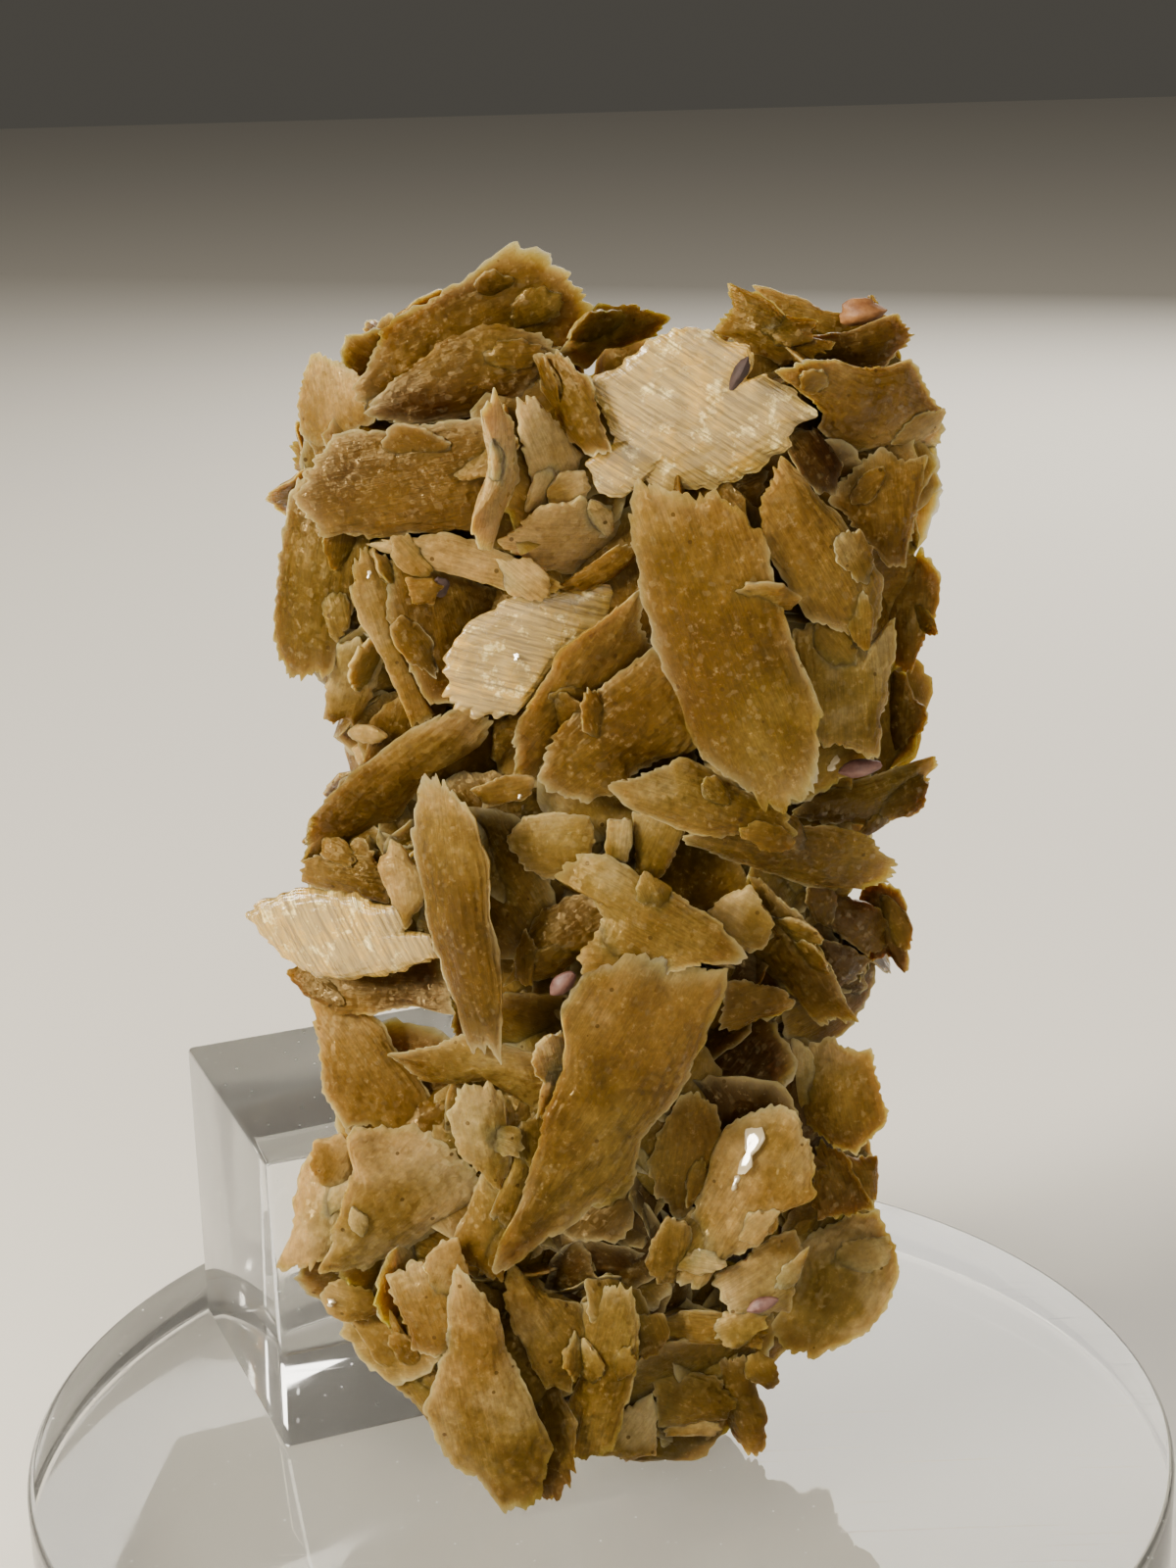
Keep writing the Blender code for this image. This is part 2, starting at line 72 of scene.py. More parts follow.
def deselect_all() -> None:
    """Leave nothing selected, so that an operator acts only on what is added next."""
    for obj in list(bpy.context.selected_objects):
        obj.select_set(False)


def activate(*objects: bpy.types.Object) -> None:
    """Select these objects and make the first one active.

    Args:
        objects: The objects that the next operator acts on.
    """
    deselect_all()
    for obj in objects:
        obj.select_set(True)
    bpy.context.view_layer.objects.active = objects[0]


def apply_place(obj: bpy.types.Object) -> None:
    """Move an object's place into its mesh, so that the object sits at the origin."""
    activate(obj)
    bpy.ops.object.transform_apply(location=True, rotation=True, scale=True)


@dataclass(frozen=True)
class Noise:
    """Smooth, repeatable noise in space.

    Attributes:
        seed: Picks one of many unlike patterns.
    """

    seed: int

    def _corner(self, cell: np.ndarray) -> np.ndarray:
        """A repeatable number from -1 to 1 for each lattice cell."""
        x, y, z = (cell[..., axis] * factor for axis, factor in enumerate(HASH_AXES))
        mixed = (x ^ y ^ z ^ (self.seed * HASH_SEED)) & HASH_BITS
        mixed = ((mixed ^ (mixed >> 13)) * HASH_SPREAD) & HASH_BITS
        mixed = mixed ^ (mixed >> 16)
        return (mixed & 0xFFFF) / 32767.5 - 1.0

    def at(self, points: np.ndarray, size: float) -> np.ndarray:
        """Read the noise.

        Args:
            points: Places, as an array whose last axis is x, y, z.
            size: Distance between neighbouring blobs, in the places' unit.

        Returns:
            One value from -1 to 1 for each place.
        """
        scaled = points / size + self.seed * SEED_SHIFT
        cell = np.floor(scaled).astype(np.int64)
        part = scaled - cell
        part = part * part * (3.0 - 2.0 * part)
        total = np.zeros(points.shape[:-1])
        for corner in np.ndindex(2, 2, 2):
            offset = np.array(corner)
            weight = np.prod(np.where(offset, part, 1.0 - part), axis=-1)
            total += weight * self._corner(cell + offset)
        return total

    def rough(self, points: np.ndarray, size: float, octaves: int = 3) -> np.ndarray:
        """Several sizes of noise, each half as large and half as strong as the last."""
        total = np.zeros(points.shape[:-1])
        for step in range(octaves):
            total += self.at(points, size / 2**step) / 2**step
        return total


# ------------------------------------------------------------------------------ the crystals


class Habit(Enum):
    """How a crystal's faces and rim have grown or broken."""

    LENS = "curved faces that meet in a thin, toothed rim"
    SLAB = "flat grown faces with a stepped rim"
    CLEAVAGE = "a bright broken face with a jagged rim"
    GRAIN = "a small stout grain"
    FACET = "a tiny flat facet"


# An outline is read in this many directions, and its corners are rounded over a few of them.
RIM_DIRECTIONS = 721
RIM_SOFTNESS = 6

# A plain leaf's outline: number of corners, how pointed it is and how much wider it is drawn.
LEAF_CORNERS = 24
LEAF_POINT = 0.18
LEAF_SPREAD = 1.28


@dataclass(frozen=True)
class Crystal:
    """One flattened crystal, from its root to its tip.

    Attributes:
        name: What the crystal is called.
        tip: Its far end.
        root: The end that it grows from.
        turn: Angle about the line from root to tip in degrees; 0 faces the front, 180 the back.
        thick: Thickness at the middle.
        tone: From 0, dark brown, through amber at 0.4, to 1, pale.
        habit: How its faces have grown.
        outline: Corners of its outline, along and across from the middle of that line.
        breaks: Number of straight breaks in the outline.
        grain: Angle of its fine lines from the line from root to tip, in degrees.
        small: Whether it is one of the many that are shaped from a coarse blank.
    """

    name: str
    tip: Triple
    root: Triple
    turn: float
    thick: float
    tone: float
    habit: Habit
    outline: Outline
    breaks: int = 0
    grain: float = 0.0
    small: bool = False

    @property
    def length(self) -> float:
        """Distance from root to tip."""
        return math.dist(self.tip, self.root)

    @property
    def half_width(self) -> float:
        """Farthest reach of the outline across the crystal."""
        return max(abs(across) for _, across in self.outline)

    def axes(self) -> tuple[Vector, Vector, Vector, Vector]:
        """Directions along, across and out of the crystal's face, and its middle."""
        tip = Vector(self.tip)
        root = Vector(self.root)
        along = (tip - root).normalized()
        face = (FRONT - along * FRONT.dot(along)).normalized()
        face.rotate(Matrix.Rotation(math.radians(self.turn), 3, along))
        return along, along.cross(face), face, (tip + root) / 2

    def rim_share(self, angle: np.ndarray) -> np.ndarray:
        """How far the outline lies from the middle in each direction.

        Args:
            angle: Directions, as on a circle that is stretched to the crystal's length and width.

        Returns:
            Distances, as shares of that stretched circle's own.
        """
        grid = np.linspace(-math.pi, math.pi, RIM_DIRECTIONS)
        heading = np.stack([np.cos(grid), np.sin(grid)], axis=-1)
        corners = np.array(self.outline) / (self.length / 2, self.half_width)
        share = np.zeros_like(grid)
        for start, end in zip(corners, np.roll(corners, -1, axis=0)):
            edge = end - start
            slope = heading[:, 0] * edge[1] - heading[:, 1] * edge[0]
            slope = np.where(np.abs(slope) < 1e-9, 1e-9, slope)
            reach = (start[0] * edge[1] - start[1] * edge[0]) / slope
            where = (start[0] * heading[:, 1] - start[1] * heading[:, 0]) / slope
            hit = (where >= -1e-6) & (where <= 1 + 1e-6) & (reach > 0)
            share = np.where(hit, np.maximum(share, reach), share)
        weights = np.hanning(2 * RIM_SOFTNESS + 3)[1:-1]
        ring = np.concatenate([share[-RIM_SOFTNESS - 1:-1], share, share[1:RIM_SOFTNESS + 1]])
        soft = np.convolve(ring, weights / weights.sum(), mode="valid")
        return np.interp(angle, grid, soft)


def plain(
    name: str, tip: Triple, root: Triple, left: float, right: float, turn: float = 0.0,
    thick: float = 2.0, taper: float = 0.55, tone: float = 0.45, habit: Habit = Habit.LENS,
    breaks: int = 3, small: bool = False,
) -> Crystal:
    """A crystal whose outline is a plain leaf with a few straight breaks.

    Args:
        name: What the crystal is called.
        tip: Its far end.
        root: The end that it grows from.
        left: Half width to the left of the line from root to tip.
        right: Half width to the right of that line.
        turn: Angle about that line in degrees.
        thick: Thickness at the middle.
        taper: From 0.4, blunt, to 0.8, pointed.
        tone: From 0, dark brown, to 1, pale.
        habit: How its faces have grown.
        breaks: Number of straight breaks in the outline.
        small: Whether it is shaped from a coarse blank.

    Returns:
        The crystal.
    """
    half = math.dist(tip, root) / 2
    outline = []
    for corner in range(LEAF_CORNERS):
        angle = corner * 2 * math.pi / LEAF_CORNERS
        swing = math.sin(angle)
        across = math.copysign(abs(swing) ** (2 * (taper + LEAF_POINT)), swing)
        width = (right if swing > 0 else left) * LEAF_SPREAD
        outline.append((half * math.cos(angle), across * width))
    return Crystal(
        name, tip, root, turn, thick, tone, habit, tuple(outline), breaks, small=small
    )


# Distances between the blobs of noise that shape a crystal, in millimetres.
WARP_SIZE = 3.4
STEP_SIZE = 2.4
RIDGE_SIZE = 1.9
FRILL_SIZE = 1.5
GRIT_SIZE = 1.3
FINE_TOOTH = 0.42

# How strongly each of them acts, and how far apart the two faces read it.
STEP_ROUGHNESS = 0.10
WARP = 0.6
FRILL = 0.22
FACE_GAP = 3.1
NEXT_PATTERN = 20.0
GOLDEN_TURN = 2.399

# A growth step is flat over the first share of its width, and rises over the second.
STEP_TREAD = 0.68
STEP_RISE = 0.32

# Flat facets that each face is broken into, and the shift of their draws from the outline's.
FACETS_PER_FACE = 3
FACET_SEED = 5000
LOWEST_FACET = 0.25

# A crystal's tone rises from root to tip and from middle to rim: painted light where light passes through
# its thinner tip and rim, and painted shade at its thick root.
PAINTED_TIP_LIGHT = 0.13
PAINTED_RIM_LIGHT = 0.05


@dataclass(frozen=True)
class Relief:
    """The relief of one habit's faces and rim, in millimetres.

    Attributes:
        fullness: How far towards the rim the face keeps its height.
        thin: Share of the listed thickness that the crystal really has.
        rim: Thickness left at the rim.
        steps: Number of growth steps from rim to middle.
        step_share: Part of the height that is stepped.
        lamella: Distance between the fine ridges.
        lamella_height: Height of the fine ridges.
        teeth: How far the rim's teeth stand out.
        tooth: Distance between teeth.
        wander: How far the outline wanders, as a share of the half width.
        bow: How far the whole crystal is bent.
        grit: Height of the uneven patches on its faces.
    """

    fullness: float
    thin: float
    rim: float
    steps: int
    step_share: float
    lamella: float
    lamella_height: float
    teeth: float
    tooth: float
    wander: float
    bow: float
    grit: float


RELIEFS = {
    Habit.LENS: Relief(2.2, 0.46, 0.06, 4, 0.40, 0.55, 0.014, 0.42, 0.6, 0.08, 0.3, 0.045),
    Habit.SLAB: Relief(4.0, 0.45, 0.10, 4, 0.50, 0.8, 0.016, 0.46, 0.7, 0.07, 0.2, 0.04),
    Habit.CLEAVAGE: Relief(6.0, 0.6, 0.2, 5, 0.5, 0.5, 0.04, 0.4, 0.8, 0.04, 0.2, 0.03),
    Habit.GRAIN: Relief(2.0, 1.0, 0.2, 2, 0.2, 0.4, 0.02, 0.08, 0.5, 0.1, 0.0, 0.02),
    Habit.FACET: Relief(9.0, 0.5, 0.1, 1, 0.0, 0.5, 0.0, 0.04, 0.3, 0.05, 0.0, 0.006),
}

L, S, C = Habit.LENS, Habit.SLAB, Habit.CLEAVAGE

CROWN = (
    Crystal("crown_back", (1, -3.8, 87), (-12.7, -3.5, 80.5), 10, 3.2, 0.26, L, (
        (-7.5, -0.5), (-3.5, -3.5), (5, -4), (6.5, -3), (7.5, -1), (7.5, 1.5), (6, 3), (4, 3.5),
        (1, 4), (-2.5, 4), (-6, 2.5),
    )),
    Crystal("crown_front", (-0.4, -6.3, 83.9), (-11.8, -5.4, 80.6), -4, 3.2, 0.2, L, (
        (-6, 0.5), (-4, -1), (-0.5, -2.5), (2.5, -2.5), (5, -1.5), (6, 0.5), (4.5, 1.5), (3, 2.5),
        (1.5, 1.5), (0, 2.5), (-3.5, 2),
    )),
    Crystal("left_ear", (-14.7, -0.5, 83.4), (-13.2, -2.4, 77.7), -35, 1.8, 0.66, L, (
        (-1.5, 4), (-2.5, 2.5), (-2.5, 0), (-3, -2.5), (-1, -3), (0.5, -3), (3, -1), (3, 0), (0.5, 3),
    )),
    Crystal("left_fan", (-16.5, -5.5, 75.1), (-2.5, -9.3, 78.4), 4, 3, 0.26, L, (
        (7.5, 0.5), (3.5, 3.5), (-3, 3), (-6, 2.5), (-7.5, 1), (-7, -0.5), (-5.5, -1.5), (-3.5, -4),
        (0.5, -3), (3.5, -3), (6, -2),
    )),
    Crystal("ribbon", (-3.7, -11.1, 82.5), (-4.7, -9.7, 72.9), 50, 2.2, 0.84, L, (
        (5, -0.5), (3, 1), (-1, 2), (-5, 0), (-4, -2), (-2.5, -2), (-1, -1), (1, -0.5), (4, -2),
    )),
    Crystal("tooth", (-2.4, -9.5, 81.6), (-0.3, -7.3, 75.5), 18, 1.8, 0.85, S, (
        (3.5, 0.5), (-1.75, 2), (-3, 0.75), (-3.5, -0.75), (-2.25, -1.75), (2, -1.25), (3.5, -0.75),
    )),
    Crystal("brown_leaf", (-1.8, -7.4, 84), (2.1, -9.8, 78), -28, 2, 0.36, L, (
        (3.75, -0.5), (3, 1), (0.5, 2), (-1.5, 1), (-3.75, 0.5), (-3, -1), (-1.75, -1.5), (2.25, -1.5),
    )),
    Crystal("top_leaf", (6.1, 0, 85), (-1.1, -4.4, 83), 16, 2, 0.52, L, (
        (-4.25, 0), (-2, -1), (-1, -2.25), (1.75, -1.25), (4.25, 0.5), (3.25, 1.25), (1, 1.25),
        (-1.25, 0.75), (-2.25, 2),
    )),
    Crystal("step_plate", (3.4, -5.4, 72.7), (-4.5, -9.9, 73.9), 21, 2, 0.8, S, (
        (-4.5, 0.5), (-2, -2.5), (0, -3), (2.5, -2), (4.5, 0), (3.5, 1), (1.5, 2.5), (-1, 2.5),
    )),
    Crystal("step_high", (1.1, -8.2, 76.7), (-1.7, -8.5, 75.7), 13, 1.8, 0.76, S, (
        (1.5, -0.75), (1.5, 0.75), (0.25, 1.25), (-1.5, 0.75), (-1.5, -0.5), (0, -1.25),
    )),
    Crystal("long_leaf", (-11.9, -7.9, 73.7), (0.1, -9.1, 70.4), 10, 1.8, 0.68, L, (
        (6.5, -0.5), (4.5, 0.5), (2, 1.5), (0, 1.5), (-6, 0), (-4.5, -1), (1.5, -1),
    )),
    Crystal("left_disc", (-13.6, -3.5, 77.7), (-16.2, -5.1, 64.2), -21, 3.2, 0.32, L, (
        (7, -1), (6.5, 1.5), (3, 3), (-0.5, 3), (-6.5, 1.5), (-6, 0.5), (-7, -1), (-5.5, -2),
        (-3, -2.5), (0.5, -3), (4, -2.5),
    )),
    Crystal("left_blade", (-12.2, -8.1, 73.3), (-9.3, -7.1, 61.9), 15, 2.2, 0.56, L, (
        (6, 0), (5, 1.5), (-0.5, 0.5), (-6, 1), (-6, -0.5), (-0.5, -1), (1.5, -1.5), (4, -1.5),
    )),
    Crystal("left_chip", (-12.3, -5.7, 67.5), (-14.5, -3.6, 60.9), 6, 2, 0.62, S, (
        (3.5, -0.25), (2.75, 1.75), (-1.5, 1.5), (-3.25, 1), (-3.5, -1), (-1.5, -1.5), (2.5, -1.5),
    )),
    Crystal("box_chip", (-9.7, -9.5, 70.6), (-7.5, -9.5, 71), 0, 1.6, 0.55, S, (
        (-0.75, 0.75), (-1.25, 0), (-0.5, -1), (1, -0.75), (1, 1),
    )),
    Crystal("brown_face", (-8.9, -7, 72.9), (-6.8, -8.1, 63.3), 20, 2.4, 0.36, L, (
        (5, -2), (1, 5), (0, 5), (-1, 2), (-5, -0.5), (-4.5, -2), (-1.5, -2.5), (1, -3),
    )),
    Crystal("silver_mid", (3.1, -6.5, 70.3), (-7.9, -9.6, 64.5), 1, 2, 0.85, C, (
        (6.5, 0), (4.5, 1.5), (2, 1.5), (-3.5, 3.5), (-6.5, 1), (-6, -1), (-4.5, -2.5), (-3.5, -3),
        (0.5, -3),
    ), grain=45),
)

RIGHT_TOP = (
    Crystal("silver_crown", (13.7, -8, 82.1), (0, -8, 78.1), 0, 2.2, 1, C, (
        (7, 2), (6.5, 2.5), (5.5, 2), (4.5, 3.5), (3, 4), (1, 4.5), (-3, 4), (-4, 2), (-5, 3.5),
        (-6.5, 3), (-7, 1), (-6.5, 0.5), (-5, 0.5), (-5, -1.5), (-5, -3.5), (0, -5), (1, -5),
        (4.5, -3), (4.5, -2), (3.5, -1), (4.5, -1),
    ), grain=50),
    Crystal("right_big", (22, -1.8, 77.1), (11.1, -10.6, 83.4), 5, 3.2, 0.62, L, (
        (-7.5, 0.5), (-5.5, -1), (-1.5, -2), (1.5, -3.5), (6, -1.5), (7.5, 0.5), (7, 2), (0.5, 3),
        (-2, 2.5), (-2.5, 1.5),
    )),
    Crystal("right_fin", (8.4, -4.2, 85.5), (15.1, -5.9, 82.7), 9, 2.2, 0.4, L, (
        (-3.75, 1), (-3.25, -0.25), (-1, -1.5), (1, -1.75), (2.5, -1.25), (3.75, -1.5), (3, 0.25),
        (3.75, 1.75), (1.25, 1.75), (-1.75, 0.5),
    )),
    Crystal("right_back", (10.2, 1.1, 84.8), (19.1, -0.1, 82.5), 1, 2, 0.52, S, (
        (4.5, 1.5), (1.5, 1.5), (-1, 1), (-2.5, 1.5), (-4, 1.5), (-4.5, 0.5), (-3.5, -1), (-1.5, -2),
        (0.5, -2), (2.5, -1),
    )),
    Crystal("right_top", (20.3, -2.9, 83.6), (11.9, -5.1, 82.5), 12, 2.4, 0.36, L, (
        (-4.5, 0.25), (-3, -1.25), (-0.5, -1), (2, -1.5), (3.25, -1.5), (4.25, -0.25), (3.5, 0.75),
        (2.25, 1.75), (0, 1.5), (-2.25, 0.5),
    )),
    Crystal("right_under", (17.7, -4.8, 77.5), (18.2, -5.9, 70.1), 11, 2.6, 0.44, L, (
        (4, 0), (3, 1.5), (3, 3), (-3.5, 1), (-3.5, 0), (1, -3.5), (2, -2.5),
    )),
    Crystal("dark_wedge", (12.5, -7.3, 79.3), (15.1, -7.1, 75), 30, 2, 0.2, L, (
        (2.5, -0.5), (1.75, 1.25), (0.25, 1.5), (-1.5, 1.5), (-2.5, 0), (-2, -1), (-0.25, -1.5),
        (1.75, -1.5),
    )),
    Crystal("slab_upper", (10.7, -11.1, 77.9), (17.1, -9.1, 66.2), 15, 2.8, 0.55, S, (
        (6.5, 1), (5, 1.5), (-0.5, 2.5), (-3.5, 2.5), (-5.5, 1), (-6.5, 0), (-2.5, -2.5), (1, -2.5),
        (3, -3), (5.5, -1),
    )),
    Crystal("slab_lower", (15.2, -8.5, 68.6), (15.8, -9.2, 59.9), 14, 2.6, 0.55, S, (
        (4, -3), (4.5, -2), (2, 1.5), (4.5, 3.5), (0.5, 3), (-4.5, 1.5), (-4, 0), (-3, -2), (1, -3),
    )),
    Crystal("right_ear", (20.2, -1.9, 70.9), (19.5, -4, 63.1), -20, 2.6, 0.4, L, (
        (4, 0.25), (3, 1.5), (1, 2), (-4, 0.25), (-3.25, -0.75), (2, -2.25),
    )),
    Crystal("right_brown", (20, -0.1, 63), (19.6, -0.6, 57.4), -31, 2, 0.22, L, (
        (2.75, -1), (2.5, 0), (1, 0.75), (0.5, 1.75), (-1, 1.5), (-2.75, -0.5), (-2.25, -1.25),
    )),
    Crystal("tall_leaf", (4.5, -11.1, 78.6), (12.1, -11.3, 57.8), -10, 3.2, 0.4, L, (
        (11, -1.5), (10, -1), (9, 0.5), (8, 2.5), (7, 4), (5, 4.5), (-6, 3.5), (-8.5, 2.5),
        (-10.5, 1.5), (-11, -0.5), (-10.5, -1.5), (-8.5, -3), (-6.5, -4), (-3.5, -4), (4, -4), (9, -3),
    )),
    Crystal("shelf", (8.3, -11.7, 70.6), (12.6, -11.7, 70.1), -35, 1.6, 0.56, S, (
        (2.25, 0.25), (1.25, 1.25), (-1.25, 1.25), (-2.25, 0.25), (-2, -0.75), (0, -1.25),
        (1.5, -1.25),
    )),
)

WAIST = (
    Crystal("side_leaf", (3.6, -7.6, 72.5), (-1.4, -8, 69.8), 9, 1.8, 0.46, L, (
        (3, 0.5), (1, 1), (-1.25, 0.75), (-2.75, -0.5), (2.75, -1),
    )),
    Crystal("brown_ridge", (3.8, -9.8, 70.7), (-4.6, -7.7, 58.3), 29, 2.4, 0.46, L, (
        (7.5, 0), (5.5, 1), (4, 3.5), (1.5, 2), (-0.5, 1), (-2.5, 1), (-6.5, 1.5), (-7.5, 1),
        (-4.5, -1.5), (-2, -2), (0.5, -2), (2, -2.5),
    )),
    Crystal("mid_leaf", (6.1, -8.9, 65.2), (-2, -9, 58.2), 5, 3, 0.36, L, (
        (5.5, -1), (4, 3), (2.5, 4), (0.5, 3), (-1, 2.5), (-2, 3.5), (-4, 2), (-5, 0), (-5.5, -1.5),
        (-2.5, -3), (2.5, -3), (5, -2.5),
    )),
    Crystal("low_shelf", (-2.4, -8.7, 59), (-6.6, -9.2, 58.3), 0, 1.6, 0.5, S, (
        (-2.25, -0.5), (0.25, -1), (2.25, -0.5), (1.75, 0.75), (0, 1), (-1.5, 0.75),
    )),
    Crystal("diag_leaf", (1.4, -11.7, 60.2), (12.7, -9.7, 55.8), 13, 2.6, 0.48, L, (
        (6, -0.5), (2, 2.5), (-5, 1), (-6, 0), (-5.5, -1), (-3, -1), (-1.5, -2), (0.5, -2),
        (4.5, -1.5),
    )),
    Crystal("right_lobe", (18.6, -5.3, 51.5), (6.1, -10.3, 56.8), 18, 2.8, 0.4, L, (
        (-7, 1.5), (-7, -1), (1.5, -2.5), (4, -2.5), (7.5, -1), (7, 2), (4.5, 2.5), (-4, 2),
    )),
    Crystal("right_wing", (22.2, -0.8, 56.4), (11.9, -7.1, 55.3), 7, 2.4, 0.42, L, (
        (-6, -0.5), (-4.5, -1.5), (-2.5, -1.5), (0, -1.5), (6, -1.5), (5.5, 0), (3.5, 1.5), (1.5, 2.5),
    )),
    Crystal("grey_leaf", (7.6, -7.2, 50.9), (11.2, -7.8, 48.6), -10, 2, 0.72, S, (
        (0.75, 2.25), (-2.25, 1), (-2.25, -0.75), (-1.75, -2), (2.25, -1), (1.75, 0.75),
    )),
    Crystal("brown_arc", (15.6, -4.6, 41.2), (9.5, -7.3, 52.8), 24, 2.4, 0.38, L, (
        (-7, 0), (-2.5, -2), (0.5, -2), (5.5, -1), (6.5, -1.5), (6.5, -0.5), (6, 1), (1, 2.5),
        (-0.5, 2.5), (-2, 0), (-4, 0.5),
    )),
    Crystal("dark_lobe", (18, -0.7, 49.8), (19.2, -2.5, 43.4), -16, 2.4, 0.15, L, (
        (3.25, 0.25), (2.5, 1.5), (1.25, 1.75), (-0.25, 1.75), (-3.5, 0.75), (-2, 0), (-2, -1.25),
        (-0.5, -2), (1.5, -1.75), (3, -1),
    )),
    Crystal("ragged_upper", (19, -2, 45.6), (13.4, -5.6, 50.3), -19, 2, 0.22, L, (
        (-4, 0), (-2, -1), (1, -1.75), (3.25, -1.25), (4, 0.25), (2.75, 1.5), (-2, 1),
    )),
    Crystal("ragged_lower", (16.6, -3, 43.6), (14.1, -5.3, 47.4), -11, 2, 0.2, L, (
        (-2.5, -0.25), (-0.25, -1.25), (2.25, -1.75), (2.5, 1.25), (0.75, 1.5), (-1.5, 1),
    )),
    Crystal("round_plate", (-4.8, -8.1, 54.8), (1.2, -9, 55.5), 3, 2, 0.62, S, (
        (3, 0.75), (1.75, 1.75), (-0.25, 2), (-2.5, 1.5), (-3, 0.25), (-2.5, -1), (-1.25, -2),
        (0.75, -2.25), (2, -1.5), (2.75, -0.25),
    )),
    Crystal("square_plate", (2.3, -9, 57), (1.9, -9, 53.9), 0, 1.8, 0.6, S, (
        (1.5, 0.75), (0, 1), (-1.5, 0.75), (-1.5, -0.75), (1.25, -1),
    )),
    Crystal("green_band", (5.1, -9.2, 57.4), (3.3, -7.9, 52), -13, 2, 0.42, S, (
        (2.75, 0.5), (2, 1.5), (-1.5, 1.25), (-2.75, 0.5), (-3, -0.5), (1.75, -2),
    )),
    Crystal("long_sheet", (-1.9, -10, 54), (9.2, -12.3, 48), 9, 2.8, 0.54, L, (
        (-6.5, 1), (-5.5, 0), (-3.5, -1.5), (-1.5, -3.5), (0.5, -4), (2, -3), (2.5, -1), (4.5, 0),
        (6.5, -0.5), (5.5, 1.5), (4, 2.5), (-4, 2),
    )),
    Crystal("gold_sheet", (-5.5, -8.7, 46.4), (1.5, -9.5, 51.9), 20, 2.2, 0.38, L, (
        (4.5, -0.5), (2, 1), (-0.5, 2), (-3, 1.5), (-4.5, 0), (-3.5, -1.5), (-2, -2), (0.5, -1),
    )),
    Crystal("spindle", (-8.4, -10.1, 60.9), (-6, -11.8, 43), -25, 4, 0.38, L, (
        (9, -0.5), (8, 1), (6, 2), (2.5, 2.5), (-4.5, 2), (-9, 1), (-8.5, -1), (-7, -1.5),
        (-0.5, -2.5), (5, -2.5), (7.5, -1.5),
    )),
    Crystal("left_arm", (-5, -8.3, 64.4), (-17.8, -2.2, 51.9), 24, 2.4, 0.52, L, (
        (9.5, 0), (4, -2), (-0.5, -2.5), (-5.5, -2), (-7.5, -1), (-9.5, 0.5), (-7.5, 1.5), (-5, 1.5),
        (-2.5, 2.5), (2.5, 1.5), (5.5, 2.5), (7.5, 1.5),
    )),
    Crystal("left_cheek", (-17.6, -2.6, 52.3), (-11.1, -5.7, 52), 3, 2.6, 0.46, L, (
        (3.5, -1.25), (3.25, 0.25), (-1, 2.5), (-2, 1.5), (-3.5, -1.5), (-2.25, -1.75),
    )),
    Crystal("grey_fold", (-11.2, -7.2, 55.4), (-10.2, -9, 49.9), -7, 2, 0.72, S, (
        (3, -0.25), (2.5, 0.5), (0, 1.5), (-1, 1.5), (-3, -0.5), (1.5, -1.5),
    )),
    Crystal("silver_left", (-20.7, -6, 49.8), (-8.6, -9, 48.8), 0, 2.4, 0.95, C, (
        (6.5, 0.5), (5.5, 1.5), (4, 2.5), (1.5, 3), (-1, 3), (-2, 2.5), (-3.5, 2.5), (-4.5, 1.5),
        (-4, 0.5), (-5.5, 1), (-6.5, -0.5), (-3.5, -2), (0, -3), (1.5, -3), (5, -1),
    ), grain=60),
    Crystal("pale_chip", (-14, -1.3, 58.4), (-11.6, -1.5, 59.6), 29, 1.8, 0.75, S, (
        (1.25, -0.5), (1.25, 0.75), (0, 1), (-1.25, 0), (-0.5, -0.75), (0.75, -0.75),
    )),
    # Its dark tone is painted shade under silver_left.
    Crystal("shadow_sheet", (-18.8, -2.8, 44.7), (-7.5, -7.3, 45.4), 28, 2, 0.24, L, (
        (6, 1), (2.5, 1), (-1, 1.5), (-4.5, 2.5), (-5.5, 1), (-6, -1.5), (-5, -1.5), (-4, -1),
        (-1.5, -1.5), (0, -2), (2.5, -2), (4.5, -1),
    )),
    Crystal("great_lens", (7.1, -11.5, 50.1), (-5.9, -14.1, 29.9), 13, 3.8, 0.46, L, (
        (12, 2.5), (8.5, 3.5), (4, 4), (2, 4), (-0.5, 3.5), (-3, 4), (-8, 2.5), (-12, 0),
        (-11.5, -0.5), (-10, -1), (-7.5, -1), (-1.5, -3), (1, -3.5), (3, -4.5), (4.5, -6), (7, -5.5),
        (9, -3.5), (10, -0.5),
    )),
    plain("tongue", (1.7, -11, 59.6), (6, -10, 57.4), 0.7, 0.7, 0, 1.6, 0.65, 0.5),
    plain("olive_under", (-5, -8.6, 46.5), (0.2, -9.5, 49.2), 1, 1, -20, 1.8, 0.6, 0.42),
    plain("ledge_left", (-14, -4, 61), (-11, -6, 61), 0.6, 0.6, 0, 1.4, 0.5, 0.75, S),
)

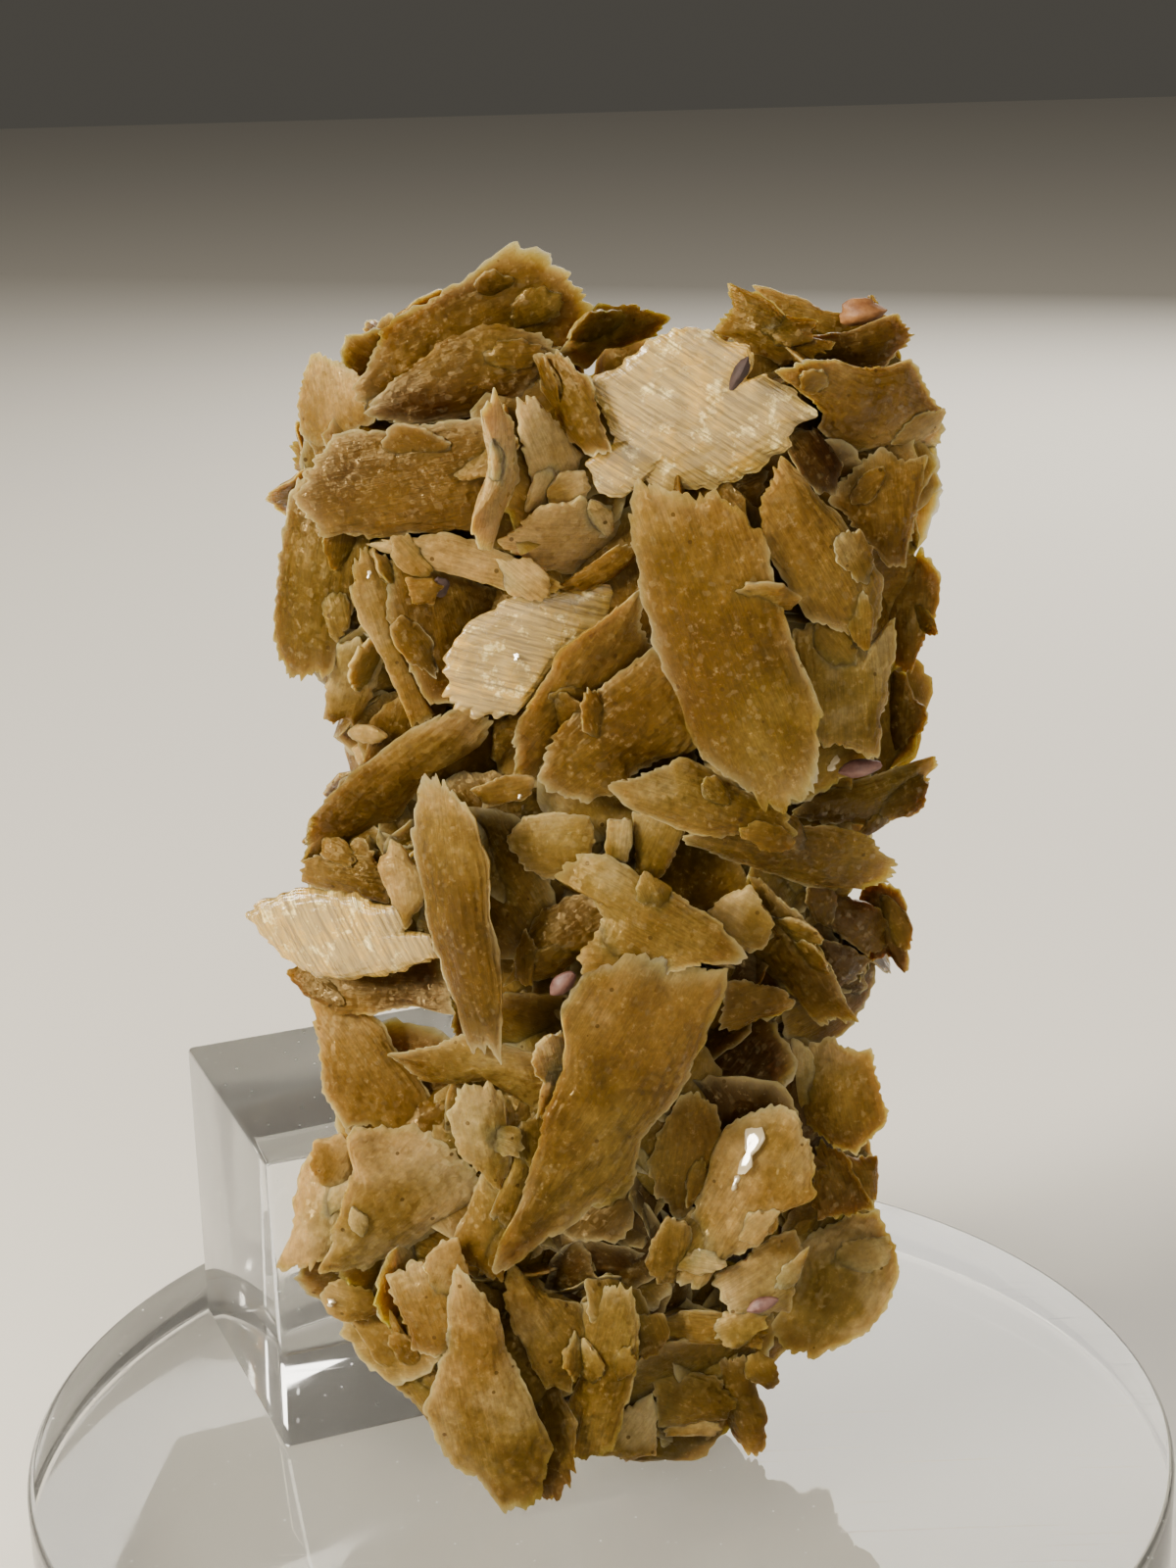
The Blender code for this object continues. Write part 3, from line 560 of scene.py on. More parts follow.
LOWER_LEFT = (
    Crystal("left_lower", (-17, -3.8, 44.4), (-10.5, -7.2, 35.4), 9, 2.8, 0.54, L, (
        (6, 0), (4.5, 1), (3, 2), (1.5, 2.5), (-5, 2.5), (-6, 1), (-4.5, -1), (-3, -2.5), (-2.5, -3.5),
        (0.5, -3), (3.5, -1.5),
    )),
    Crystal("flat_leaf", (-1.2, -11, 41.3), (-12, -8.9, 42.1), 20, 2.4, 0.6, L, (
        (-5.5, 0), (-0.5, -2.5), (4, -1.5), (5.5, -0.5), (3.5, 3), (0.5, 1), (-1.5, 2), (-3.5, 2),
    )),
    Crystal("round_lobe", (-7.1, -11.1, 41.4), (-6, -11.1, 33.4), 10, 2.4, 0.72, L, (
        (4, 1.5), (2.5, 2), (-2.5, 1.5), (-4, 0.5), (-1, -1.5), (2.5, -2), (4, -0.5),
    )),
    Crystal("inner_high", (-3.7, -9.5, 39.8), (-5.4, -11.4, 30.8), 4, 2.4, 0.52, L, (
        (4.5, -1.5), (4, 0.25), (2.5, 1.25), (-2.5, 1), (-4.75, 0.25), (-3.5, -1.25), (0, -0.5),
    )),
    Crystal("inner_low", (-6.3, -10.1, 34.5), (-6.7, -11.3, 27.8), -11, 2.4, 0.54, L, (
        (3.5, -0.5), (2.5, 1), (1.25, 2), (-3.5, 1.25), (-2, -1.75), (-0.5, -2.25),
    )),
    Crystal("pale_sliver", (-1.4, -11.1, 44.6), (-2.9, -10.3, 37.6), 40, 1.6, 0.78, L, (
        (3.5, 0.5), (0.5, 1.25), (-3.5, -0.25), (-2.75, -0.75), (3.5, -0.75),
    )),
    Crystal("box_face", (-14.8, -8.6, 36.8), (-16.8, -8.6, 33.5), 0, 2, 0.7, S, (
        (0.5, -1.75), (2, -0.5), (1.75, 0.75), (-0.25, 1.75), (-1.5, 1.75), (-2, 0.25), (-1.25, -1.25),
    )),
    Crystal("lobe_outer", (-15.7, -7.4, 35.4), (-18, -10, 27.7), -17, 2.8, 0.78, L, (
        (4, 0.5), (2, 2), (-1.5, 1.5), (-3, 1), (-4, -0.5), (-4, -2), (-1.5, -1.5), (2.5, -2),
        (4, -1.5),
    )),
    Crystal("lobe_inner", (-8.5, -10, 36.4), (-17.2, -11, 28.6), 15, 3, 0.7, L, (
        (5.5, 4.5), (3.5, 4.5), (-3, 2.5), (-6, 0), (-4, -0.5), (1, -3.5), (2.5, -6), (4, -5),
        (5.5, -3), (6, -0.5),
    )),
    Crystal("left_bead", (-17.2, -9.5, 26.5), (-12.9, -10, 25.5), 3, 2, 0.58, L, (
        (2.25, 0.75), (1, 1.75), (-1, 1.25), (-2.25, 0.25), (-1.5, -1), (0.25, -1.5), (1.5, -1.25),
        (2, -0.5),
    )),
    Crystal("low_leaf_left", (-15, -8.5, 25.6), (-9, -11.3, 17.9), 6, 2.2, 0.52, L, (
        (5, -1), (5, 1.5), (-1.5, 1.5), (-5, 0.5), (-4, -0.5), (-1, -1.5), (0, -1), (1.5, -1.5),
    )),
    Crystal("foot_plate", (-10.9, -11.1, 30), (-8.5, -12.7, 23.4), -7, 2.2, 0.6, S, (
        (3, -2.5), (3.5, -0.5), (3, 2), (1, 2.5), (-0.5, 3), (-3, 1.5), (-3.5, 0.5), (-3, -1.5),
        (-2, -2.5),
    )),
    Crystal("foot_main", (-8.3, -13.1, 30.2), (-5.7, -12, 12.4), 0, 3.2, 0.58, L, (
        (9, 0), (5.5, 2), (3, 2), (-5, 3.5), (-8.5, 2), (-9, 1), (-9, -0.5), (-7, -1.5), (-5.5, -3),
        (-3, -3.5), (-1, -4), (2, -2.5),
    )),
    Crystal("foot_left", (-13.1, -10, 25.7), (-8.8, -10.3, 16.2), -22, 2.6, 0.5, L, (
        (5, 0.5), (2.5, 0.5), (0.5, 1.5), (-1.5, 2.5), (-3, 2), (-5, 0.5), (-4.5, -1), (-2.5, -1.5),
        (-1, -2), (1.5, -2),
    )),
    Crystal("foot_wedge", (-5.6, -10.5, 28.9), (-0.8, -10.1, 19.8), 21, 2.4, 0.56, L, (
        (5, 0.5), (2.5, 1), (0, 2.5), (-2.5, 2.5), (-4, 1), (-5, -1), (-3.5, -2), (1, -2), (3, -1.5),
    )),
    Crystal("foot_right", (1.9, -10, 27.5), (-1, -10, 14.3), -15, 2.8, 0.5, L, (
        (7, 0.5), (4, 1.5), (0.5, 2), (-1.5, 2), (-5, 1.5), (-6.5, 0), (-6.5, -1), (-4, -1), (-3, -2),
        (-0.5, -1.5), (4, -2.5), (6, -1),
    )),
    Crystal("foot_back", (-4.2, -7.2, 22.5), (-2.1, -12.1, 13.2), -22, 2.4, 0.3, L, (
        (5.5, -1.5), (4.5, 0), (2.5, 1), (-1, 2), (-3, 1.5), (-4.5, 0.5), (-5.5, -1), (-5, -2),
        (-2.5, -1), (2.5, -1.5),
    )),
    Crystal("pale_foot", (4, -7.5, 17.4), (0.5, -8.1, 12.9), -1, 2, 0.82, S, (
        (3, -0.75), (2.25, 0.25), (-0.5, 2.25), (-2, 0.75), (-2.75, -1.25), (0.75, -1.75),
    )),
    plain("left_tuck", (-15.6, -5, 38.5), (-11, -7, 35), 1.6, 1.4, 0, 2.2, 0.55, 0.4),
)

LOWER_RIGHT = (
    Crystal("bottom_body", (2.9, -7.2, 18.4), (8.8, -7.1, 16), 10, 2.8, 0.5, L, (
        (3.25, 0.75), (1, 2), (-1.25, 2), (-3.25, 0.75), (-3.25, -0.75), (-1.5, -1.25), (-0.25, -2),
        (1.5, -2.5),
    )),
    Crystal("pale_strip", (8.3, -7.1, 15.1), (3.6, -7.4, 15.1), 0, 1.4, 0.8, S, (
        (-2.25, -0.25), (1.5, -0.75), (2.25, 0.25), (1.5, 0.75), (-0.5, 0.5), (-2, 0.5),
    )),
    Crystal("horn", (10.1, -5.8, 11.6), (8.2, -7, 20.3), 14, 2.6, 0.4, L, (
        (-4.5, 0.5), (-4, -1.25), (-1.25, -1.5), (1.5, -1.5), (4, -0.75), (4.5, 0), (3.75, 0.75),
        (2, 1.25), (-3, 1.25),
    )),
    Crystal("low_band", (3.4, -7.4, 22.7), (11, -8.6, 22.4), 9, 2.2, 0.56, S, (
        (3.75, 0.5), (1.75, 1.25), (-0.5, 1.25), (-2.75, 0.75), (-3.75, 0), (-3, -1), (1.25, -1.25),
        (3.75, -0.75),
    )),
    Crystal("right_disc", (18.9, -2.3, 27.4), (12, -5.9, 19.1), -15, 3.2, 0.66, L, (
        (5.5, -0.5), (4, 2), (3, 3), (1, 3.5), (-1, 3.5), (-3, 2.5), (-5, 1.5), (-5.5, 0), (-5.5, -2),
        (-1, -2.5), (1, -4), (4.5, -2),
    )),
    Crystal("fan_disc", (14.6, -3, 40.1), (16.2, -5.1, 32.2), -10, 2.8, 0.6, L, (
        (4, -1), (4, 0.5), (3, 1.5), (3, 3), (-0.5, 3), (-2, 3), (-4, 0.5), (-3.5, -0.5), (-2.5, -1.5),
        (-1, -2.5), (0, -3), (1.5, -3.5), (2.5, -3.5),
    )),
    Crystal("gloss_plate", (12.9, -8.1, 37.9), (5.4, -9.6, 25.7), -10, 2.6, 0.62, S, (
        (7, 0.5), (5.5, 2), (2.5, 4), (0.5, 2.5), (-0.5, 3), (-5.5, 0.5), (-6, 1), (-7, 0), (-7, -1),
        (-4, -1.5), (-2.5, -2.5), (3.5, -3.5), (5, -2.5), (7, -1),
    )),
    Crystal("gloss_lower", (9.1, -7.9, 31.4), (5.1, -9.7, 27.6), -6, 2.4, 0.55, S, (
        (3, -0.5), (2.75, 1.5), (0.25, 2), (-1.75, 1.5), (-3, 0.5), (-2.5, -1), (-1, -2.25), (1, -2),
    )),
    Crystal("grey_step", (5, -9.8, 31.6), (4, -9.4, 26.3), 9, 2, 0.58, S, (
        (2.75, -0.5), (2.25, 1), (0.75, 1.5), (-2.75, 1), (-2.75, -0.25), (-1.25, -1.5), (0.75, -1.25),
    )),
    Crystal("low_fill", (0.2, -9.3, 27.8), (2.8, -9.5, 21.1), 21, 2.4, 0.46, L, (
        (3.5, -1), (3, 0.5), (1, 2), (-1, 2), (-3, 1), (-3.5, -1), (-1.5, -1.5), (1, -2),
    )),
    Crystal("jag_plate", (7.7, -9, 24.7), (13.3, -7.9, 28.1), -2, 2, 0.66, S, (
        (-3.5, 1.5), (-3, -0.5), (0, -3), (1, -2.5), (3.5, -1), (3, 2.5), (1.5, 2), (-2, 2),
    )),
    Crystal("inner_right", (14.5, -3.1, 33.3), (15.9, -5.9, 28.7), 12, 2, 0.42, L, (
        (2.75, -0.25), (1.5, 1.25), (-2.75, 2), (-2.5, -2), (-1, -2),
    )),
    Crystal("wedge_right", (16.7, -2.9, 32.5), (17.9, -3.5, 28.5), 27, 2, 0.6, L, (
        (2, -1), (1.25, 0.25), (1, 1.25), (-2, 0.25), (-2, -0.5),
    )),
    Crystal("shade_leaf", (6.5, -8.2, 38.9), (4.9, -8.7, 30.5), 13, 2.2, 0.42, L, (
        (4.5, 0), (3.5, 1.5), (1.5, 2.5), (-4, 1), (-4, -0.5), (-3, -1.5), (-0.5, -2.5), (3.5, -1.5),
    )),
    Crystal("green_tip", (12.8, -7, 44.6), (7.5, -8.1, 43.9), 9, 1.8, 0.46, L, (
        (-2.75, 1.25), (-1.75, -2.25), (2, -0.5), (2.75, 0.5), (1.75, 1.25), (0, 1.25), (-1.5, 1.75),
    )),
    plain("grey_lump", (9.6, -7, 20.4), (11.1, -7, 17.4), 1, 1, 0, 1.8, 0.45, 0.5),
)

SIDES_AND_BACK = (
    plain("back_crown", (-1, 5, 86), (-11, 8, 76), 3.1, 2.9, 184, 3.2, 0.63, 0.42, breaks=5),
    plain("back_left_high", (-17, 4, 77), (-8, 9, 70), 3.1, 2.6, 144, 3.2, 0.58, 0.46, breaks=5),
    plain("back_left_low", (-15.5, 4, 62), (-6, 9, 64), 3.1, 2.7, 210, 3.2, 0.68, 0.4, breaks=5),
    plain("back_top", (4, 6, 84), (2, 8.5, 69), 3.4, 2.9, 163, 3.4, 0.68, 0.5, breaks=5),
    plain("back_right_top", (15.5, 4, 85), (9, 9, 74), 2.8, 3, 203, 3.2, 0.58, 0.42, breaks=5),
    plain("back_right_high", (20.5, 4, 75), (12, 9, 70), 3.1, 2.9, 180, 3, 0.58, 0.4, breaks=5),
    plain("back_right_low", (17, 5, 58), (11, 9, 69), 2.7, 2.9, 184, 3, 0.68, 0.46, breaks=5),
    plain("back_centre", (-3, 9.5, 72), (4, 9, 59), 3.6, 3.3, 164, 3.4, 0.63, 0.5, breaks=5),
    plain("back_waist_left", (-14, 4, 50), (-4, 8, 58), 3, 2.5, 185, 3.2, 0.68, 0.44, breaks=5),
    plain("back_waist_right", (15, 5, 48), (5, 9, 57), 3, 2.9, 178, 3.2, 0.68, 0.4, breaks=5),
    plain("back_long", (4, 9, 63), (0, 8.5, 45), 3, 2.6, 193, 3.2, 0.73, 0.5, breaks=5),
    plain("back_low_left", (-8.6, 2, 37), (-3, 5.5, 46.5), 2.2, 2, 152, 3, 0.58, 0.44, breaks=5),
    plain("back_low_right", (12.5, 4, 31), (5, 7, 45), 3.1, 2.7, 199, 3.2, 0.68, 0.48, breaks=5),
    plain("back_low_middle", (5.5, 5, 26), (2.5, 6, 42), 2.7, 2.4, 162, 3, 0.68, 0.42, breaks=5),
    plain("back_foot", (3.2, -1.5, 15.5), (4.5, 3, 30), 2, 2, 200, 3, 0.68, 0.46, breaks=5),
    plain("right_side_high", (20.5, 3, 82), (18.5, 3, 71), 2.8, 2.7, 68, 2.6, 0.58, 0.4, breaks=5),
    plain("right_side_waist", (18.5, 4, 69), (18, 2, 57), 2.5, 2.4, 113, 2.6, 0.68, 0.44, breaks=5),
    plain("right_side_mid", (15.5, 3, 56), (14.5, 2, 43), 2.3, 2.3, 50, 2.6, 0.68, 0.4, breaks=5),
    plain("right_side_low", (16, 0, 37), (14.5, 1, 25), 2.3, 2.2, 94, 2.6, 0.68, 0.46, breaks=5),
    plain("left_side_high", (-15, 3, 80), (-15.5, 3, 68), 2.5, 2.4, -96, 2.8, 0.58, 0.42, breaks=5),
    plain("left_side_waist", (-13.5, 2, 62), (-13, 1, 51), 2.3, 2.3, -55, 2.6, 0.68, 0.46, breaks=5),
    plain("left_side_low", (-15.2, -1, 46.5), (-13.8, -2, 37.5), 1.9, 1.7, -87, 2, 0.68, 0.4, breaks=5),
)


# The matrix between the crystals, row by row from the crown down: centre, then radii.
MATRIX = (
    ((-6, 0, 82), (6, 5.5, 4.5)),
    ((14, 0, 81), (5.5, 5.5, 4)),
    ((-11, 0, 76), (5.5, 7, 6)),
    ((-2, -1, 76), (7.5, 8, 6)),
    ((8, -1, 76), (7.5, 8, 6)),
    ((16, 0, 75), (5.5, 7, 6)),
    ((-12, 0, 68), (5, 7, 6)),
    ((-3, -0.5, 68), (8, 8.5, 6.5)),
    ((7, -1, 68), (8.5, 9, 7)),
    ((16, 0, 67), (4.5, 7.5, 7)),
    ((-8, 0, 60), (6, 7, 6)),
    ((2, -0.5, 60), (8, 8.5, 6.5)),
    ((12, -0.5, 60), (7, 8, 6)),
    ((-11, 0, 52), (5, 6.5, 5.5)),
    ((-2, -0.5, 52), (8, 8.5, 6.5)),
    ((9, -0.5, 52), (7, 7.5, 6)),
    ((-6.2, -1, 44), (2.7, 5.5, 5)),
    ((1, -1.5, 44), (8, 8.5, 6.5)),
    ((11, -1, 45), (6.5, 5.5, 4.5)),
    ((-9, -4.5, 35.5), (5.5, 5, 4.8)),
    ((1, -3, 36), (7, 8, 7)),
    ((9.5, -2, 35), (5.5, 6, 6.5)),
    ((-12.5, -8.4, 30), (5, 2.6, 5)),
    ((-5.5, -8.2, 31.5), (4.5, 3, 4.5)),
    ((1, -5, 29), (6.5, 6, 7)),
    ((12, -0.5, 27), (4.5, 4.5, 6)),
    ((-10.5, -9.3, 25), (3.6, 1.9, 3.6)),
    ((-4.5, -8.6, 21.5), (4.5, 3.4, 5.5)),
    ((4.5, -5, 20.5), (6, 4, 4.5)),
    ((3.5, -5.5, 17), (4.5, 2.8, 3.8)),
)

# How finely a mass of matrix is divided, and how rough it is, in millimetres.
LUMP_SUBDIVISIONS = 4
LUMP_ROUGHNESS = 0.45
LUMP_NOISE_SIZE = 2.2
LUMP_SEED = 5

# The masses of matrix that lie in shade, by their centres, and how much darker their small crystals are:
# their darker tone is painted shade.
SHADED_MATRIX = ((11, -1, 45), (9.5, -2, 35), (1, -5, 29))
MATRIX_TONE = 0.40
PAINTED_SHADE_MATRIX_TONE = 0.10
PAINTED_SHADE_FILLER = 0.30

# A direction whose y is below this faces the front.
FRONT_FACING = -0.3

# Below this height and before this y, only the front of the foot carries small crystals.
FOOT_TOP = 26.0
FOOT_BACK = 2.0

VIEWER = (0.4, -158.4, 106.4)
KEY_LIGHT = (-400, -300, 320)

# Bright facets: middle, length and half width.
BRIGHT_FACETS = (
    ((9.6, -9, 35.2), 3.3, 0.7), ((8.7, -9.2, 33.2), 1.2, 0.25), ((14.8, -7.3, 59.2), 1.1, 0.4),
    ((12.7, -7, 63.8), 0.9, 0.2), ((-11.7, -8.7, 71.6), 0.5, 0.15), ((-3.5, -9.1, 66.6), 0.5, 0.25),
    ((-3.6, -9.3, 58.3), 0.4, 0.15), ((-1.8, -7.8, 45.3), 0.4, 0.15), ((6.4, -9.6, 28.8), 0.4, 0.15),
    ((-16.3, -10.2, 26.3), 0.6, 0.35),
)
FACET_OUTLINE = (
    (1, 0.3), (0.6, 1), (0.15, 0.75), (-0.15, 0.35), (-0.5, 0.75), (-0.9, 0.3), (-1, -0.4),
    (-0.5, -0.6), (-0.2, -0.2), (0.25, -0.6), (0.7, -1),
)

# The trunk's outline: height, then its left and right edge.
TRUNK = (
    (12, -10.5, 11), (20, -15.5, 18), (28, -19, 18.5), (36, -16.5, 18), (44, -17, 19),
    (50, -18.5, 18.5), (56, -15.5, 20.5), (64, -15, 20.5), (70, -17.5, 21), (76, -16, 20.5),
    (84, -12, 19.5), (88, -8, 2),
)


FRONT_CRYSTALS = CROWN + RIGHT_TOP + WAIST + LOWER_LEFT + LOWER_RIGHT


@dataclass
class Blank:
    """A slab of fine squares, modelled once and shaped anew for every crystal.

    Attributes:
        squares: Number of squares along each side.
    """

    squares: int

    def __post_init__(self) -> None:
        """Model the slab and read its points."""
        deselect_all()
        bpy.ops.mesh.primitive_grid_add(
            x_subdivisions=self.squares, y_subdivisions=self.squares, size=2.0
        )
        self.object = bpy.context.active_object
        bpy.ops.object.mode_set(mode="EDIT")
        bpy.ops.mesh.select_all(action="SELECT")
        bpy.ops.mesh.extrude_region_move(TRANSFORM_OT_translate={"value": (0.0, 0.0, 1.0)})
        bpy.ops.mesh.select_all(action="SELECT")
        bpy.ops.mesh.normals_make_consistent(inside=False)
        bpy.ops.object.mode_set(mode="OBJECT")
        mesh = self.object.data
        points = np.empty(len(mesh.vertices) * 3)
        mesh.vertices.foreach_get("co", points)
        points = points.reshape(-1, 3)
        squared_x = points[:, 0]
        squared_y = points[:, 1]
        disc_x = squared_x * np.sqrt(1 - squared_y**2 / 2)
        disc_y = squared_y * np.sqrt(1 - squared_x**2 / 2)
        self.reach = np.minimum(np.hypot(disc_x, disc_y), 1.0)
        self.angle = np.arctan2(disc_y, disc_x)
        self.side = np.where(points[:, 2] > 0.5, 1.0, -1.0)

    def copy(self, name: str) -> bpy.types.Object:
        """A new object with its own copy of the slab."""
        obj = self.object.copy()
        obj.data = self.object.data.copy()
        obj.name = name
        bpy.context.scene.collection.objects.link(obj)
        return obj

    def remove(self) -> None:
        """Take the slab out of the scene."""
        mesh = self.object.data
        bpy.data.objects.remove(self.object, do_unlink=True)
        bpy.data.meshes.remove(mesh)


def growth_steps(height: np.ndarray, count: int, share: float) -> np.ndarray:
    """Turn a smooth height from 0 to 1 into rounded growth steps.

    Args:
        height: The smooth height.
        count: Number of steps.
        share: Part of the height that is stepped.

    Returns:
        The stepped height, still from 0 to 1.
    """
    level = np.clip(height, 0.0, 1.0) * count
    whole = np.floor(level)
    rise = np.clip((level - whole - STEP_TREAD) / STEP_RISE, 0.0, 1.0)
    stepped = (whole + rise * rise * (3 - 2 * rise)) / count
    return height * (1 - share) + stepped * share


@dataclass
class CrystalShaper:
    """Shapes blanks into crystals with toothed rims, growth steps and fine ridges.

    Attributes:
        sizes: Squares along the side of each blank, from coarse to fine.
        coarse: Squares along the side of the blank for the many small crystals.
        spacing: Distance that one square should span on a crystal, in millimetres.
    """

    sizes: tuple[int, ...] = (10, 16, 24, 36, 48, 64)
    coarse: int = 16
    spacing: float = 0.17

    def __post_init__(self) -> None:
        """Model the blanks, from coarse to fine."""
        self.blanks = {count: Blank(count) for count in self.sizes}

    def blank_for(self, crystal: Crystal) -> Blank:
        """The coarsest blank that is fine enough for this crystal, or the finest one."""
        if crystal.small:
            return self.blanks[self.coarse]
        wanted = math.sqrt(crystal.length * 2 * crystal.half_width) / self.spacing
        fine_enough = (count for count in self.sizes if count >= wanted)
        return self.blanks[next(fine_enough, self.sizes[-1])]

    def shape(self, crystal: Crystal, seed: int) -> bpy.types.Object:
        """Shape one crystal.

        Args:
            crystal: Its place, size and habit.
            seed: Makes its rim and faces unlike the others'.

        Returns:
            The new object, with its place in its mesh.
        """
        blank = self.blank_for(crystal)
        relief = RELIEFS[crystal.habit]
        noise = Noise(seed)
        reach, angle, side = blank.reach, blank.angle, blank.side
        zero = np.zeros_like(reach)
        half_length = crystal.length / 2
        half_width = crystal.half_width

        around = np.stack([np.cos(angle), np.sin(angle), zero], axis=-1)
        mean_half = (half_length + 2 * half_width) / 3
        wander = 1 + relief.wander * noise.rough(around * 1.7, 1.0, 3)
        saw = (noise.at(around * mean_half, relief.tooth) + 1) / 2
        saw += 0.5 * noise.at(around * mean_half, relief.tooth * FINE_TOOTH)
        teeth = relief.teeth * saw * reach**8 / mean_half
        rim = reach * (wander - teeth) * crystal.rim_share(angle)
        rim = rim * self._cut(np.cos(angle), np.sin(angle), crystal.breaks, seed)
        ahead = rim * np.cos(angle) * half_length
        across = rim * np.sin(angle) * half_width

        flat = np.stack([ahead, across, side * FACE_GAP], axis=-1)
        dome = 1 - reach**relief.fullness
        dome = dome * self._facets(ahead / half_length, across / half_width, side, seed)
        dome = dome + STEP_ROUGHNESS * noise.rough(flat, STEP_SIZE, 4)
        dome = growth_steps(dome, relief.steps, relief.step_share)
        direction = seed * GOLDEN_TURN
        warp = WARP * noise.at(flat, WARP_SIZE)
        stripe = (ahead * math.sin(direction) * 0.35 + across * 0.9 + warp) / relief.lamella
        ridge = np.abs((stripe % 1.0) * 2 - 1)
        ridge = ridge * (0.5 + 0.5 * noise.at(flat, RIDGE_SIZE)) * (1 - reach**6)
        height = relief.rim / 2 + dome * (crystal.thick * relief.thin - relief.rim) / 2
        height = height + ridge * relief.lamella_height
        grit = noise.rough(flat + NEXT_PATTERN, GRIT_SIZE, 3)
        height = height + relief.grit * grit * (1 - reach**8)
        frill = FRILL * reach**5 * noise.at(around * mean_half + 7.0, FRILL_SIZE)
        bow = relief.bow * noise.at(np.array([[seed * 1.31, 0.5, 0.5]]), 1.0)[0]
        bend = bow * (1 - (ahead / half_length) ** 2) - bow * 0.5
        out = side * height + frill + bend

        along_axis, across_axis, face_axis, middle = (
            np.array(axis) for axis in crystal.axes()
        )
        places = middle + np.outer(ahead, along_axis) + np.outer(across, across_axis)
        places = (places + np.outer(out, face_axis)) * MM

        obj = blank.copy(crystal.name)
        mesh = obj.data
        mesh.vertices.foreach_set("co", places.ravel())
        self._paint(mesh, crystal, reach, ahead, across, seed)
        return obj

    @staticmethod
    def _facets(
        ahead: np.ndarray, across: np.ndarray, side: np.ndarray, seed: int
    ) -> np.ndarray:
        """Break each face into a few flat facets that meet in faint ridges.

        Args:
            ahead: Places along the crystal, from -1 to 1.
            across: Places across the crystal, from -1 to 1.
            side: 1 on the front face and -1 on the back face.
            seed: Makes the facets unlike another crystal's.

        Returns:
            The face's height as a share of the full height.
        """
        draw = np.random.default_rng(seed + FACET_SEED)
        height = np.ones_like(ahead)
        for face in (1.0, -1.0):
            for _ in range(FACETS_PER_FACE):
                direction = draw.uniform(0, 2 * math.pi)
                start = draw.uniform(-0.1, 0.5)
                fall = draw.uniform(0.15, 0.6)
                reach = ahead * math.cos(direction) + across * math.sin(direction)
                plane = 1 - fall * (reach - start)
                height = np.where(side == face, np.minimum(height, plane), height)
        return np.clip(height, LOWEST_FACET, 1.0)

    @staticmethod
    def _cut(ahead: np.ndarray, across: np.ndarray, count: int, seed: int) -> np.ndarray:
        """How far straight breaks draw the outline in.

        Args:
            ahead: The outline's places along the crystal, from -1 to 1.
            across: Its places across the crystal, from -1 to 1.
            count: Number of breaks.
            seed: Makes the breaks unlike another crystal's.

        Returns:
            A share of 1 or less for each place.
        """
        draw = np.random.default_rng(seed)
        share = np.ones_like(ahead)
        for _ in range(count):
            direction = draw.uniform(0, 2 * math.pi)
            stand = draw.uniform(0.72, 0.95)
            reach = ahead * math.cos(direction) + across * math.sin(direction)
            share = np.where(reach * share > stand, stand / np.maximum(reach, 1e-6), share)
        return share

    def _paint(
        self, mesh: bpy.types.Mesh, crystal: Crystal, reach: np.ndarray,
        ahead: np.ndarray, across: np.ndarray, seed: int,
    ) -> None:
        """Give the mesh its tone, its distance from the rim and its grain directions."""
        away = ahead / crystal.length * 2
        # Painted light and shade: lighter towards the tip and the rim, where light shines through, darker
        # at the root.
        tone = crystal.tone + PAINTED_TIP_LIGHT * away + PAINTED_RIM_LIGHT * (reach**3 - 0.4)
        for name, values in (("tone", tone), ("rim", reach)):
            attribute = mesh.attributes.new(name, "FLOAT", "POINT")
            attribute.data.foreach_set("value", values.astype(np.float32))
        corners = np.empty(len(mesh.loops), dtype=np.int32)
        mesh.loops.foreach_get("vertex_index", corners)
        shift = seed * 3.7
        layer = mesh.uv_layers.get("grain") or mesh.uv_layers.new(name="grain")
        lean = math.radians(crystal.grain)
        along_grain = ahead * math.cos(lean) + across * math.sin(lean)
        over_grain = across * math.cos(lean) - ahead * math.sin(lean)
        pairs = np.stack([along_grain[corners] + shift, over_grain[corners]], axis=-1)
        layer.uv.foreach_set("vector", pairs.astype(np.float32).ravel())

    def finish(self) -> None:
        """Take the blanks out of the scene."""
        for blank in self.blanks.values():
            blank.remove()


# ------------------------------------------------------------------------------- materials


